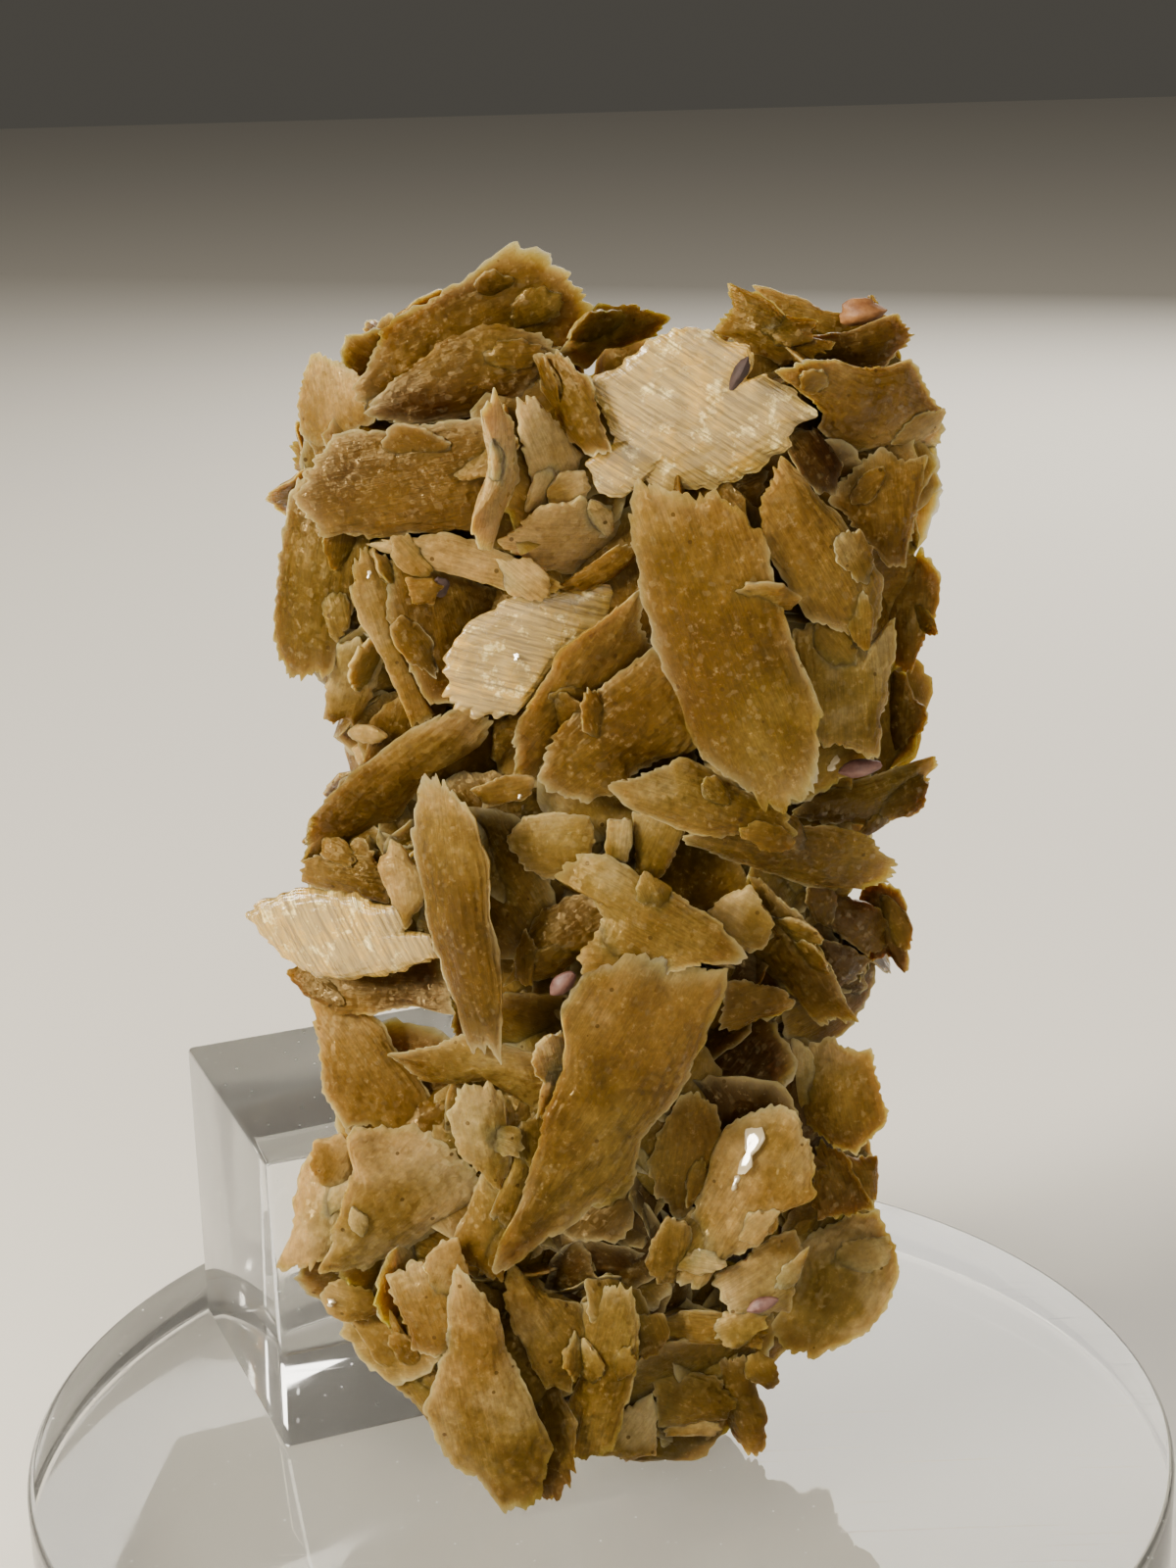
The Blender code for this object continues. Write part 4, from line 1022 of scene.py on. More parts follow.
@dataclass
class NodeSheet:
    """A small wrapper that adds and links shader nodes.

    Attributes:
        material: The material whose nodes are laid out.
    """

    material: bpy.types.Material

    def __post_init__(self) -> None:
        """Start from the material's own Principled shader."""
        self.material.use_nodes = True
        self.tree = self.material.node_tree
        self.shader = self.tree.nodes["Principled BSDF"]

    def add(self, kind: str, **settings: object) -> bpy.types.Node:
        """Add a node and set its properties."""
        node = self.tree.nodes.new(kind)
        for name, value in settings.items():
            setattr(node, name, value)
        return node

    def link(self, source: bpy.types.NodeSocket, target: bpy.types.NodeSocket) -> None:
        """Join two sockets."""
        self.tree.links.new(source, target)

    def attribute(self, name: str) -> bpy.types.NodeSocket:
        """The value of one of the mesh's own attributes."""
        return self.add("ShaderNodeAttribute", attribute_name=name).outputs["Fac"]

    def math(self, operation: str, first: object, second: object = 0.5) -> bpy.types.NodeSocket:
        """A Math node on two sockets or numbers."""
        node = self.add("ShaderNodeMath", operation=operation)
        for index, value in enumerate((first, second)):
            if isinstance(value, bpy.types.NodeSocket):
                self.link(value, node.inputs[index])
            else:
                node.inputs[index].default_value = value
        return node.outputs[0]

    def noise(
        self, where: bpy.types.NodeSocket, scale: float, detail: float = 3.0, rough: float = 0.5
    ) -> bpy.types.NodeSocket:
        """A Noise Texture's value.

        Args:
            where: The coordinates it reads.
            scale: Blobs per unit.
            detail: Number of finer layers.
            rough: Strength of the finer layers.

        Returns:
            The socket with the noise, about 0 to 1.
        """
        node = self.add("ShaderNodeTexNoise")
        node.inputs["Scale"].default_value = scale
        node.inputs["Detail"].default_value = detail
        node.inputs["Roughness"].default_value = rough
        self.link(where, node.inputs["Vector"])
        return node.outputs["Fac"]

    def ramp(self, source: bpy.types.NodeSocket, stops: Iterable[tuple]) -> bpy.types.NodeSocket:
        """A Color Ramp.

        Args:
            source: The value that it reads.
            stops: Pairs of place and grey value or colour.

        Returns:
            The ramp's colour socket.
        """
        node = self.add("ShaderNodeValToRGB")
        stops = list(stops)
        ramp = node.color_ramp
        while len(ramp.elements) < len(stops):
            ramp.elements.new(0.5)
        for element, (place, value) in zip(ramp.elements, stops):
            element.position = place
            colour = value if isinstance(value, tuple) else (value, value, value)
            element.color = (*colour, 1.0)
        self.link(source, node.inputs["Fac"])
        return node.outputs["Color"]

    def stretched(
        self, where: bpy.types.NodeSocket, scale: Triple, turn: float = 0.0
    ) -> bpy.types.NodeSocket:
        """Coordinates turned about the vertical, in degrees, and then scaled."""
        node = self.add("ShaderNodeMapping")
        node.inputs["Rotation"].default_value = (0.0, 0.0, math.radians(turn))
        node.inputs["Scale"].default_value = scale
        self.link(where, node.inputs["Vector"])
        return node.outputs["Vector"]

    def cells(self, where: bpy.types.NodeSocket, scale: float) -> bpy.types.Node:
        """A Voronoi Texture with this many cells to a unit."""
        node = self.add("ShaderNodeTexVoronoi", feature="F1")
        node.inputs["Scale"].default_value = scale
        self.link(where, node.inputs["Vector"])
        return node

    def mix(
        self, share: object, first: object, second: object, blend: str = "MIX"
    ) -> bpy.types.NodeSocket:
        """A colour Mix node on sockets, numbers or colours."""
        node = self.add("ShaderNodeMix", data_type="RGBA", blend_type=blend)
        for index, value in ((0, share), (6, first), (7, second)):
            socket = node.inputs[index]
            if isinstance(value, bpy.types.NodeSocket):
                self.link(value, socket)
            elif isinstance(value, tuple):
                socket.default_value = (*value, 1.0)
            else:
                socket.default_value = value
        return node.outputs[2]

    def bump(
        self, height: bpy.types.NodeSocket, distance: float, strength: float,
        under: bpy.types.NodeSocket | None = None,
    ) -> bpy.types.NodeSocket:
        """A Bump node, stacked on another one if it is given."""
        node = self.add("ShaderNodeBump")
        node.inputs["Distance"].default_value = distance
        node.inputs["Strength"].default_value = strength
        self.link(height, node.inputs["Height"])
        if under is not None:
            self.link(under, node.inputs["Normal"])
        return node.outputs["Normal"]

    def scatter(
        self, normal: bpy.types.NodeSocket, cells: bpy.types.NodeSocket, amount: float
    ) -> bpy.types.NodeSocket:
        """Tilt each cell of a pattern its own way, so that some of them catch the light.

        Args:
            normal: The surface direction.
            cells: A pattern with one random colour to a cell.
            amount: How far the cells are tilted.

        Returns:
            The tilted surface direction.
        """
        tilt = self.add("ShaderNodeVectorMath", operation="SUBTRACT")
        self.link(cells, tilt.inputs[0])
        tilt.inputs[1].default_value = (0.5, 0.5, 0.5)
        blend = self.add("ShaderNodeVectorMath", operation="MULTIPLY_ADD")
        self.link(tilt.outputs[0], blend.inputs[0])
        blend.inputs[1].default_value = (amount, amount, amount)
        self.link(normal, blend.inputs[2])
        unit = self.add("ShaderNodeVectorMath", operation="NORMALIZE")
        self.link(blend.outputs[0], unit.inputs[0])
        return unit.outputs[0]


@dataclass(frozen=True)
class MagnesiteFinish:
    """Translucent amber crystal with growth bands, fine ridges, specks, a painted glow of light along its
    rim and painted glints.

    Attributes:
        dark: Colour of the darkest, iron-rich crystals.
        amber: Colour of the common crystals.
        tan: Colour of the cloudy ones.
        pale: Colour of fresh broken and frosted places.
        roughness: Roughness of a clean face.
        glow: Share of light that passes below the surface.
        depth: How far that light travels, in metres.
        sugar: How far the tiny grains of the surface tilt from it.
        sheen: Tint of the light that its faces reflect.
        rust: Tint of the places that iron has stained.
    """

    dark: Triple = (0.026, 0.0095, 0.0010)
    amber: Triple = (0.076, 0.040, 0.0018)
    tan: Triple = (0.150, 0.095, 0.016)
    # pale: Colour of fresh broken places, and of the painted rim glow and the painted glints.
    pale: Triple = (0.390, 0.300, 0.135)
    roughness: float = 0.40
    glow: float = 0.70
    depth: float = 0.0020
    sugar: float = 0.30
    sheen: Triple = (1.0, 0.72, 0.30)
    rust: Triple = (1.0, 0.80, 0.62)

    def build(self) -> bpy.types.Material:
        """Lay out the material."""
        sheet = NodeSheet(bpy.data.materials.new("magnesite_crystal"))
        place = sheet.add("ShaderNodeTexCoord").outputs["Object"]
        grain = sheet.add("ShaderNodeUVMap", uv_map="grain").outputs["UV"]
        tone = sheet.attribute("tone")
        rim = sheet.attribute("rim")

        cloud = sheet.noise(place, 260.0, 4.0, 0.55)
        drift = sheet.noise(place, 90.0, 2.0)
        wander = sheet.math("MULTIPLY", sheet.math("SUBTRACT", cloud, 0.5), 0.85)
        shift = sheet.math("MULTIPLY", sheet.math("SUBTRACT", drift, 0.5), 0.55)
        level = sheet.math("ADD", sheet.math("ADD", tone, wander), shift)
        body = sheet.ramp(level, (
            (0.05, self.dark), (0.38, self.amber), (0.62, self.tan), (0.95, self.pale),
        ))

        lamellae = sheet.noise(sheet.stretched(grain, (0.5, 8.0, 1.0)), 1.0, 3.0, 0.62)
        lined = sheet.ramp(sheet.noise(place, 130.0, 1.0), ((0.40, 0.08), (0.58, 0.55)))
        body = sheet.mix(lined, body, sheet.ramp(lamellae, ((0.36, 0.45), (0.6, 1.0))), "MULTIPLY")
        rust = sheet.ramp(sheet.noise(place, 75.0, 2.0), ((0.42, 0.0), (0.60, 0.8)))
        body = sheet.mix(rust, body, self.rust, "MULTIPLY")
        mottle = sheet.noise(place, 2100.0, 3.0, 0.7)
        body = sheet.mix(0.55, body, sheet.ramp(mottle, ((0.32, 0.45), (0.62, 1.0))), "MULTIPLY")
        fleck = sheet.ramp(mottle, ((0.60, 0.0), (0.78, 0.32)))
        body = sheet.mix(fleck, body, self.pale)

        # Painted light: the thin rim is lightened towards pale in patches, as if light shone through it.
        painted_rim_glow = sheet.math("POWER", rim, 12.0)
        patch = sheet.ramp(sheet.noise(place, 170.0, 2.0), ((0.40, 0.05), (0.60, 0.7)))
        body = sheet.mix(sheet.math("MULTIPLY", painted_rim_glow, patch), body, self.pale)

        spot = sheet.math("LESS_THAN", sheet.cells(place, 620.0).outputs["Distance"], 0.085)
        body = sheet.mix(sheet.math("MULTIPLY", spot, 0.75), body, self.dark)
        facets = sheet.cells(place, 3400.0).outputs["Color"]
        # Painted highlight: a few tiny cells are lightened towards pale; the same cells are made glossier
        # in the roughness below.
        glint_paint_and_gloss = sheet.ramp(facets, ((0.78, 0.0), (0.84, 1.0)))
        body = sheet.mix(sheet.math("MULTIPLY", glint_paint_and_gloss, 0.10), body, self.pale)

        shader = sheet.shader
        sheet.link(body, shader.inputs["Base Color"])
        gloss = sheet.math("MULTIPLY_ADD", cloud, 0.30)
        gloss.node.inputs[2].default_value = self.roughness - 0.15
        gloss = sheet.math("SUBTRACT", gloss, sheet.math("MULTIPLY", glint_paint_and_gloss, 0.34))
        sheet.link(gloss, shader.inputs["Roughness"])
        shader.inputs["IOR"].default_value = 1.5
        shader.inputs["Specular IOR Level"].default_value = 0.28
        shader.inputs["Specular Tint"].default_value = (*self.sheen, 1.0)
        shader.inputs["Subsurface Weight"].default_value = self.glow
        shader.inputs["Subsurface Radius"].default_value = (1.0, 0.65, 0.25)
        shader.inputs["Subsurface Scale"].default_value = self.depth
        fine = sheet.noise(place, 2600.0, 2.0, 0.6)
        normal = sheet.bump(lamellae, 0.00008, 0.5)
        normal = sheet.bump(fine, 0.00006, 0.6, normal)
        normal = sheet.scatter(normal, facets, self.sugar)
        sheet.link(normal, shader.inputs["Normal"])
        return sheet.material


@dataclass(frozen=True)
class CleavageFinish:
    """A bright broken face: silvery cream with fine parallel lines and patches of painted highlight.

    Attributes:
        bright: Colour of the clean face.
        amber: Colour that shows through it.
        gold: Colour of the golden blotches.
        painted_shine: Colour of the painted highlight patches, the brightest on the face.
        line: Colour of the fine lines.
    """

    bright: Triple = (0.43, 0.30, 0.09)
    amber: Triple = (0.24, 0.14, 0.02)
    gold: Triple = (0.56, 0.34, 0.05)
    painted_shine: Triple = (0.95, 0.77, 0.32)
    line: Triple = (0.14, 0.09, 0.025)

    def build(self) -> bpy.types.Material:
        """Lay out the material."""
        sheet = NodeSheet(bpy.data.materials.new("magnesite_cleavage"))
        place = sheet.add("ShaderNodeTexCoord").outputs["Object"]
        grain = sheet.add("ShaderNodeUVMap", uv_map="grain").outputs["UV"]
        tone = sheet.attribute("tone")
        lines = sheet.noise(sheet.stretched(grain, (0.30, 5.0, 1.0)), 1.0, 4.0, 0.6)
        cloud = sheet.noise(place, 300.0, 3.0)
        share = sheet.math("MULTIPLY", sheet.math("SUBTRACT", 1.25, tone), cloud)
        body = sheet.mix(share, self.bright, self.amber)
        gold = sheet.ramp(sheet.noise(place, 520.0, 4.0, 0.65), ((0.48, 0.0), (0.60, 0.8)))
        body = sheet.mix(gold, body, self.gold)
        # Painted highlight: bright patches of shine on the broken face.
        painted_shine = sheet.ramp(sheet.noise(place, 900.0, 4.0, 0.7), ((0.56, 0.0), (0.66, 1.0)))
        body = sheet.mix(painted_shine, body, self.painted_shine)
        body = sheet.mix(sheet.ramp(lines, ((0.38, 0.8), (0.60, 0.0))), body, self.line)
        shader = sheet.shader
        sheet.link(body, shader.inputs["Base Color"])
        gloss = sheet.math("MULTIPLY_ADD", cloud, 0.25)
        gloss.node.inputs[2].default_value = 0.16
        sheet.link(gloss, shader.inputs["Roughness"])
        shader.inputs["IOR"].default_value = 1.65
        shader.inputs["Subsurface Weight"].default_value = 0.35
        shader.inputs["Subsurface Radius"].default_value = (1.0, 0.6, 0.25)
        shader.inputs["Subsurface Scale"].default_value = 0.0008
        shader.inputs["Coat Weight"].default_value = 0.25
        shader.inputs["Coat Roughness"].default_value = 0.12
        normal = sheet.bump(lines, 0.00018, 0.7)
        sheet.link(normal, shader.inputs["Normal"])
        return sheet.material


@dataclass(frozen=True)
class MirrorFinish:
    """A tiny flat facet, as smooth as glass.

    Attributes:
        colour: Colour that shows through it; its paleness is painted highlight, added to the real
            reflection of the key light.
    """

    colour: Triple = (0.42, 0.34, 0.20)

    def build(self) -> bpy.types.Material:
        """Lay out the material."""
        sheet = NodeSheet(bpy.data.materials.new("bright_facet"))
        # Painted highlight: the pale colour adds to the real reflection from the smooth coat.
        sheet.shader.inputs["Base Color"].default_value = (*self.colour, 1.0)
        sheet.shader.inputs["Roughness"].default_value = 0.10
        sheet.shader.inputs["Coat Weight"].default_value = 1.0
        sheet.shader.inputs["Coat Roughness"].default_value = 0.06
        return sheet.material


@dataclass(frozen=True)
class StoneFinish:
    """A plain opaque mineral with speckled colour and a rough face.

    Attributes:
        name: The material's name.
        low: Its darker colour.
        high: Its paler colour.
        roughness: Roughness of its surface.
    """

    name: str
    low: Triple
    high: Triple
    roughness: float = 0.6

    def build(self) -> bpy.types.Material:
        """Lay out the material."""
        sheet = NodeSheet(bpy.data.materials.new(self.name))
        place = sheet.add("ShaderNodeTexCoord").outputs["Object"]
        speckle = sheet.noise(place, 700.0, 5.0, 0.65)
        sheet.link(sheet.ramp(speckle, ((0.35, self.low), (0.68, self.high))),
                   sheet.shader.inputs["Base Color"])
        sheet.shader.inputs["Roughness"].default_value = self.roughness
        sheet.link(sheet.bump(speckle, 0.0002, 0.6), sheet.shader.inputs["Normal"])
        return sheet.material


@dataclass(frozen=True)
class AcrylicFinish:
    """Clear acrylic with a faint haze, fine scratches and specks of dust.

    Attributes:
        colour: Its very slight tint.
        index: Index of refraction.
        clear: Share of light that passes through; the rest is haze.
        scratch_turns: Directions of the fine scratches, in degrees.
    """

    colour: Triple = (0.96, 0.965, 0.95)
    index: float = 1.49
    clear: float = 0.95
    scratch_turns: tuple[float, ...] = (12.0, -38.0, 71.0)

    def build(self) -> bpy.types.Material:
        """Lay out the material."""
        sheet = NodeSheet(bpy.data.materials.new("clear_acrylic"))
        place = sheet.add("ShaderNodeTexCoord").outputs["Object"]
        haze = sheet.noise(place, 140.0, 2.0, 0.6)
        marks = sheet.ramp(haze, ((0.42, 0.01), (0.72, 0.10)))
        for turn in self.scratch_turns:
            lines = sheet.noise(sheet.stretched(place, (60.0, 2600.0, 60.0), turn), 1.0, 1.0)
            scratch = sheet.ramp(lines, ((0.68, 0.0), (0.74, 0.14)))
            marks = sheet.math("MAXIMUM", marks, scratch)
        spot = sheet.math("LESS_THAN", sheet.cells(place, 700.0).outputs["Distance"], 0.055)
        marks = sheet.math("MAXIMUM", marks, sheet.math("MULTIPLY", spot, 0.35))
        shader = sheet.shader
        shader.inputs["Base Color"].default_value = (*self.colour, 1.0)
        sheet.link(marks, shader.inputs["Roughness"])
        shader.inputs["Transmission Weight"].default_value = self.clear
        shader.inputs["IOR"].default_value = self.index
        return sheet.material


# ------------------------------------------------------------------------ the sub-assemblies

GRAINS = {
    StoneFinish("dark_mineral", (0.012, 0.006, 0.005), (0.050, 0.024, 0.018), 0.75): (
        plain("dark_rod", (9.9, -9.9, 83.6), (8.9, -9.7, 81.6), 0.35, 0.35, 0, 0.9, 0.4, 0, Habit.GRAIN),
        plain("dark_grain", (-7.8, -8.9, 71.4), (-7.5, -8.8, 70.2), 0.5, 0.5, 0, 1, 0.4, 0, Habit.GRAIN),
    ),
    StoneFinish("pink_mineral", (0.07, 0.025, 0.020), (0.20, 0.10, 0.075), 0.55): (
        plain("pink_rod", (-0.6, -11, 47.9), (-2.4, -10.8, 46.4), 0.45, 0.45, 0, 1, 0.4, 0, Habit.GRAIN),
        plain("pink_lump", (17.8, -8, 59.2), (14.6, -8.2, 58.9), 0.45, 0.4, 0, 1.2, 0.6, 0, Habit.GRAIN),
        plain("pink_crust", (11.4, -9.3, 25.2), (9, -9.3, 24.4), 0.4, 0.35, 0, 0.9, 0.6, 0, Habit.GRAIN),
    ),
    StoneFinish("orange_stain", (0.14, 0.05, 0.012), (0.34, 0.16, 0.05)): (
        plain("stained_lump", (18.4, -3, 85.2), (15.1, -3.2, 84.6), 0.7, 0.6, 0, 1.5, 0.5, 0, Habit.GRAIN),
    ),
}


# Triangles past which a piece's flat parts are thinned, unless it is given its own number.
MOST_TRIANGLES = 100000


@dataclass
class CrystalCluster:
    """The natural cluster: crystals, grains and the matrix between them.

    Attributes:
        soften: Edges that turn less than this many degrees are smoothed.
        fillers_per_lump: Small crystals seeded on the sides and back of each mass of matrix.
        front_fillers: Seeds spread over the whole mass of which only those in front are kept.
        recess: How far the matrix stays behind the solid's own surface, in millimetres.
        behind: How far small crystals stay behind the large ones, in millimetres.
        least_host: Length of the smallest crystal that carries chips, in millimetres.
        most_host: Length past which a crystal's face is clean, in millimetres.
        long_half: Half length past which a crystal has three stems, in millimetres.
        deepest: Length of the longest stem, in millimetres.
        stem_start: How far a stem starts behind its crystal's middle plane, in millimetres.
        stem_width: Least and greatest half width of a stem, as shares of the half length.
        chip_gap: Length of crystal for each chip that it carries, in millimetres.
        chip_share: How near to the rim chips lie, from 0 in the middle to 1 at the rim.
        chip_length: Least and greatest length of a chip, in millimetres.
        chip_width: Its half width as shares of that length.
        filler_length: Least and greatest length of a small crystal, in millimetres.
        front_width: Its half width as shares of that length, in front.
        back_width: The same on the sides and the back.
        front_tilt: How far a small crystal stands up from the matrix in front, 0 to 1.
        back_tilt: The same on the sides and the back.
        lens_share: Share of the small crystals that are lenses; the others are slabs.
        seed: Start of the repeatable random draws.
    """

    soften: float = 22.0
    fillers_per_lump: int = 32
    front_fillers: int = 60
    recess: float = 1.8
    behind: float = 0.9
    least_host: float = 6.5
    most_host: float = 16.5
    long_half: float = 5.0
    deepest: float = 12.0
    stem_start: float = 0.5
    stem_width: Span = (0.26, 0.40)
    chip_gap: float = 6.0
    chip_share: Span = (0.5, 0.8)
    chip_length: Span = (3.0, 5.6)
    chip_width: Span = (0.17, 0.28)
    filler_length: Span = (6.0, 11.0)
    front_width: Span = (0.32, 0.44)
    back_width: Span = (0.19, 0.30)
    front_tilt: float = 0.1
    back_tilt: float = 0.5
    lens_share: float = 0.7
    seed: int = 11

    def __post_init__(self) -> None:
        """Make the finishes and the shaper, and measure the large crystals in front."""
        self.crystal_finish = MagnesiteFinish().build()
        self.cleavage_finish = CleavageFinish().build()
        self.shaper = CrystalShaper()
        axes = zip(*(host.axes() for host in FRONT_CRYSTALS))
        halves = [(host.length / 2, host.half_width) for host in FRONT_CRYSTALS]
        self.front_planes = [np.array(rows) for rows in (*axes, halves)]

    def join(
        self, name: str, objects: list[bpy.types.Object], most: int = MOST_TRIANGLES
    ) -> bpy.types.Object:
        """Join shaped crystals in one named piece.

        Args:
            name: The piece's name.
            objects: What it is joined from.
            most: Number of triangles past which the flat parts are thinned.

        Returns:
            The joined piece.
        """
        activate(*objects)
        bpy.ops.object.join()
        piece = bpy.context.active_object
        piece.name = name
        piece.data.name = name
        triangles = sum(len(face.vertices) - 2 for face in piece.data.polygons)
        if triangles > most:
            thin = piece.modifiers.new("thinned", "DECIMATE")
            thin.ratio = most / triangles
            bpy.ops.object.modifier_apply(modifier=thin.name)
        bpy.ops.object.shade_smooth_by_angle(angle=math.radians(self.soften))
        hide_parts("crystal_cluster")
        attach(piece, "root")
        LOG.info("%s: %d faces", name, len(piece.data.polygons))
        return piece

    def chips_on(self, host: Crystal, seed: int) -> list[Crystal]:
        """Small chips that have grown on a large crystal, near its rim.

        Args:
            host: The crystal that carries them.
            seed: Makes their places unlike another crystal's.

        Returns:
            The chips, none on a small crystal, a very large one or a bright broken face.
        """
        if host.habit is Habit.CLEAVAGE or not self.least_host < host.length < self.most_host:
            return []
        draw = np.random.default_rng(seed)
        along, across, face, middle = (np.array(axis) for axis in host.axes())
        relief = RELIEFS[host.habit]
        chips = []
        for number in range(int(host.length / self.chip_gap)):
            angle = draw.uniform(0, 2 * math.pi)
            rim = host.rim_share(np.array([math.remainder(angle, 2 * math.pi)]))[0]
            share = draw.uniform(*self.chip_share)
            ahead = math.cos(angle) * rim * share * host.length / 2
            aside = math.sin(angle) * rim * share * host.half_width
            lift = (1 - share**relief.fullness) * host.thick * relief.thin / 2
            centre = middle + along * ahead + across * aside + face * lift
            if not clear_of_stand(centre):
                continue
            lean = draw.normal(0, 0.45)
            heading = along * math.cos(lean) + across * math.sin(lean)
            length = draw.uniform(*self.chip_length)
            half = length * draw.uniform(*self.chip_width)
            chips.append(plain(
                f"{host.name}_chip_{number}",
                tuple(centre + heading * length / 2), tuple(centre - heading * length / 2),
                half, half, turn_towards(heading, face) + draw.normal(0, 14),
                draw.uniform(0.9, 1.4), draw.uniform(0.55, 0.75),
                host.tone + draw.uniform(-0.08, 0.14), Habit.SLAB, int(draw.integers(4, 8)),
            ))
        return chips

    def region(
        self, name: str, crystals: Iterable[Crystal], seed: int, most: int = MOST_TRIANGLES
    ) -> bpy.types.Object:
        """Build one region's crystals, with the chips on them, as one piece.

        Args:
            name: The piece's name.
            crystals: The large crystals.
            seed: Start of the draws for this region.
            most: Number of triangles past which the flat parts are thinned.

        Returns:
            The piece.
        """
        hosts = list(crystals)
        chips = [
            chip for order, host in enumerate(hosts) for chip in self.chips_on(host, seed + order)
        ]
        return self.join(name, self.shaped(hosts + chips, seed), most)

    def stems(self) -> list[Crystal]:
        """Blades that join the large crystals in front to the matrix behind them.

        Each one stands edge on to the viewer, so that it is hidden behind its crystal.
        """
        draw = np.random.default_rng(self.seed + 1)
        eye = np.array(VIEWER)
        found = []
        for host in FRONT_CRYSTALS:
            along, _, _, middle = (np.array(axis) for axis in host.axes())
            half = host.length / 2
            for share in (-0.5, 0.05, 0.55) if half > self.long_half else (-0.25, 0.35):
                start = middle + along * half * share
                away = unit(start - eye)
                depth = depth_to_matrix(start, away)
                if not 0.5 < depth < self.deepest:
                    continue
                start = start + away * self.stem_start
                end = start + away * (depth + self.recess + 1.0)
                if not clear_of_stand(end):
                    continue
                facing = unit(np.cross(away, along))
                width = half * draw.uniform(*self.stem_width)
                found.append(plain(
                    f"{host.name}_stem_{len(found)}", tuple(start), tuple(end), width, width,
                    turn_towards(-away, facing) + draw.normal(0, 12), 2.0,
                    draw.uniform(0.45, 0.55), host.tone - draw.uniform(0.0, 0.15), Habit.SLAB,
                    int(draw.integers(3, 6)), small=True,
                ))
        return found

    def shaped(self, crystals: list[Crystal], seed: int) -> list[bpy.types.Object]:
        """Shape crystals one by one and give each its finish."""
        made = []
        for order, crystal in enumerate(crystals):
            obj = self.shaper.shape(crystal, seed + order)
            bright = crystal.habit is Habit.CLEAVAGE
            obj.data.materials.append(self.cleavage_finish if bright else self.crystal_finish)
            made.append(obj)
        return made

    def grains(self, seed: int) -> bpy.types.Object:
        """Build the grains of other minerals that have grown on the crystals."""
        made = []
        for order, (finish, crystals) in enumerate(GRAINS.items()):
            material = finish.build()
            for crystal in crystals:
                obj = self.shaper.shape(crystal, seed + 10 * order)
                obj.data.materials.append(material)
                made.append(obj)
        return self.join("grains", made)

    def bright_facets(self, seed: int) -> bpy.types.Object:
        """Build the tiny smooth facets that face half way between the viewer and the light."""
        made = []
        material = MirrorFinish().build()
        for order, (place, length, half) in enumerate(BRIGHT_FACETS):
            spot = np.array(place)
            facing = unit(sum(unit(np.array(end) - spot) for end in (VIEWER, KEY_LIGHT)))
            along = np.array((0.15, 0.0, 1.0))
            along = unit(along - facing * np.dot(along, facing))
            outline = tuple((ahead * length / 2, aside * half) for ahead, aside in FACET_OUTLINE)
            facet = Crystal(
                f"facet_{order}", tuple(spot + along * length / 2), tuple(spot - along * length / 2),
                turn_towards(along, facing), 0.4, 0.9, Habit.FACET, outline,
            )
            obj = self.shaper.shape(facet, seed + order)
            obj.data.materials.append(material)
            made.append(obj)
        return self.join("bright_facets", made)

    def matrix(self, most: int) -> bpy.types.Object:
        """Build the rough matrix between the crystals, of this many triangles at most."""
        made = []
        noise = Noise(LUMP_SEED)
        for centre, radii in MATRIX:
            deselect_all()
            bpy.ops.mesh.primitive_ico_sphere_add(subdivisions=LUMP_SUBDIVISIONS, radius=1.0)
            lump = bpy.context.active_object
            count = len(lump.data.vertices)
            points = np.empty(count * 3)
            lump.data.vertices.foreach_get("co", points)
            points = points.reshape(-1, 3)
            places = np.array(centre) + points * (np.array(radii) - self.recess)
            rough = LUMP_ROUGHNESS * noise.rough(places, LUMP_NOISE_SIZE, 3)
            places = (places + points * rough[:, None]) * MM
            lump.data.vertices.foreach_set("co", places.ravel())
            tone = PAINTED_SHADE_MATRIX_TONE if centre in SHADED_MATRIX else MATRIX_TONE
            for name, value in (("tone", tone), ("rim", 0.0)):
                attribute = lump.data.attributes.new(name, "FLOAT", "POINT")
                attribute.data.foreach_set("value", np.full(count, value, dtype=np.float32))
            layer = lump.data.uv_layers[0]
            layer.name = "grain"
            lump.data.materials.append(self.crystal_finish)
            made.append(lump)
        return self.join("matrix", made, most)

    def fillers(self) -> list[Crystal]:
        """Small crystals that crowd the matrix between the large ones."""
        draw = np.random.default_rng(self.seed)
        found = []
        for lump, (centre, radii) in enumerate(MATRIX):
            for number in range(self.fillers_per_lump + self.front_fillers):
                outward = unit(draw.normal(size=3))
                front = outward[1] < FRONT_FACING
                if front != (number >= self.fillers_per_lump):
                    continue
                place = np.array(centre) + outward * np.array(radii)
                low = place[2] < FOOT_TOP and place[1] < FOOT_BACK and not front
                if low or inside_matrix(place, lump) or not clear_of_stand(place):
                    continue
                shade = PAINTED_SHADE_FILLER if centre in SHADED_MATRIX else 0.0
                found.append(self._filler(draw, place, outward, shade, len(found)))
        return found

    def tucked_behind(self, middle: np.ndarray, steps: np.ndarray) -> np.ndarray:
        """Move a small crystal back until it no longer stands before a large one.

        Args:
            middle: The small crystal's middle.
            steps: From its middle to its ends and its sides, one to a row.

        Returns:
            The middle, moved straight away from the viewer's side if it has to be.
        """
        along, across, face, centre, size = self.front_planes
        eye = np.array(VIEWER)
        push = 0.0
        for step in np.vstack([np.zeros(3), steps]):
            sight = middle + step - eye
            far = np.linalg.norm(sight)
            sight /= far
            meet = np.sum((centre - eye) * face, axis=1) / (face @ sight)
            offset = eye + sight * meet[:, None] - centre
            ahead = np.sum(offset * along, axis=1) / size[:, 0]
            aside = np.sum(offset * across, axis=1) / size[:, 1]
            need = np.where(np.hypot(ahead, aside) < 0.95, meet + self.behind - far, 0.0)
            push = max(push, float(need.max()))
        return middle + unit(middle - eye) * push

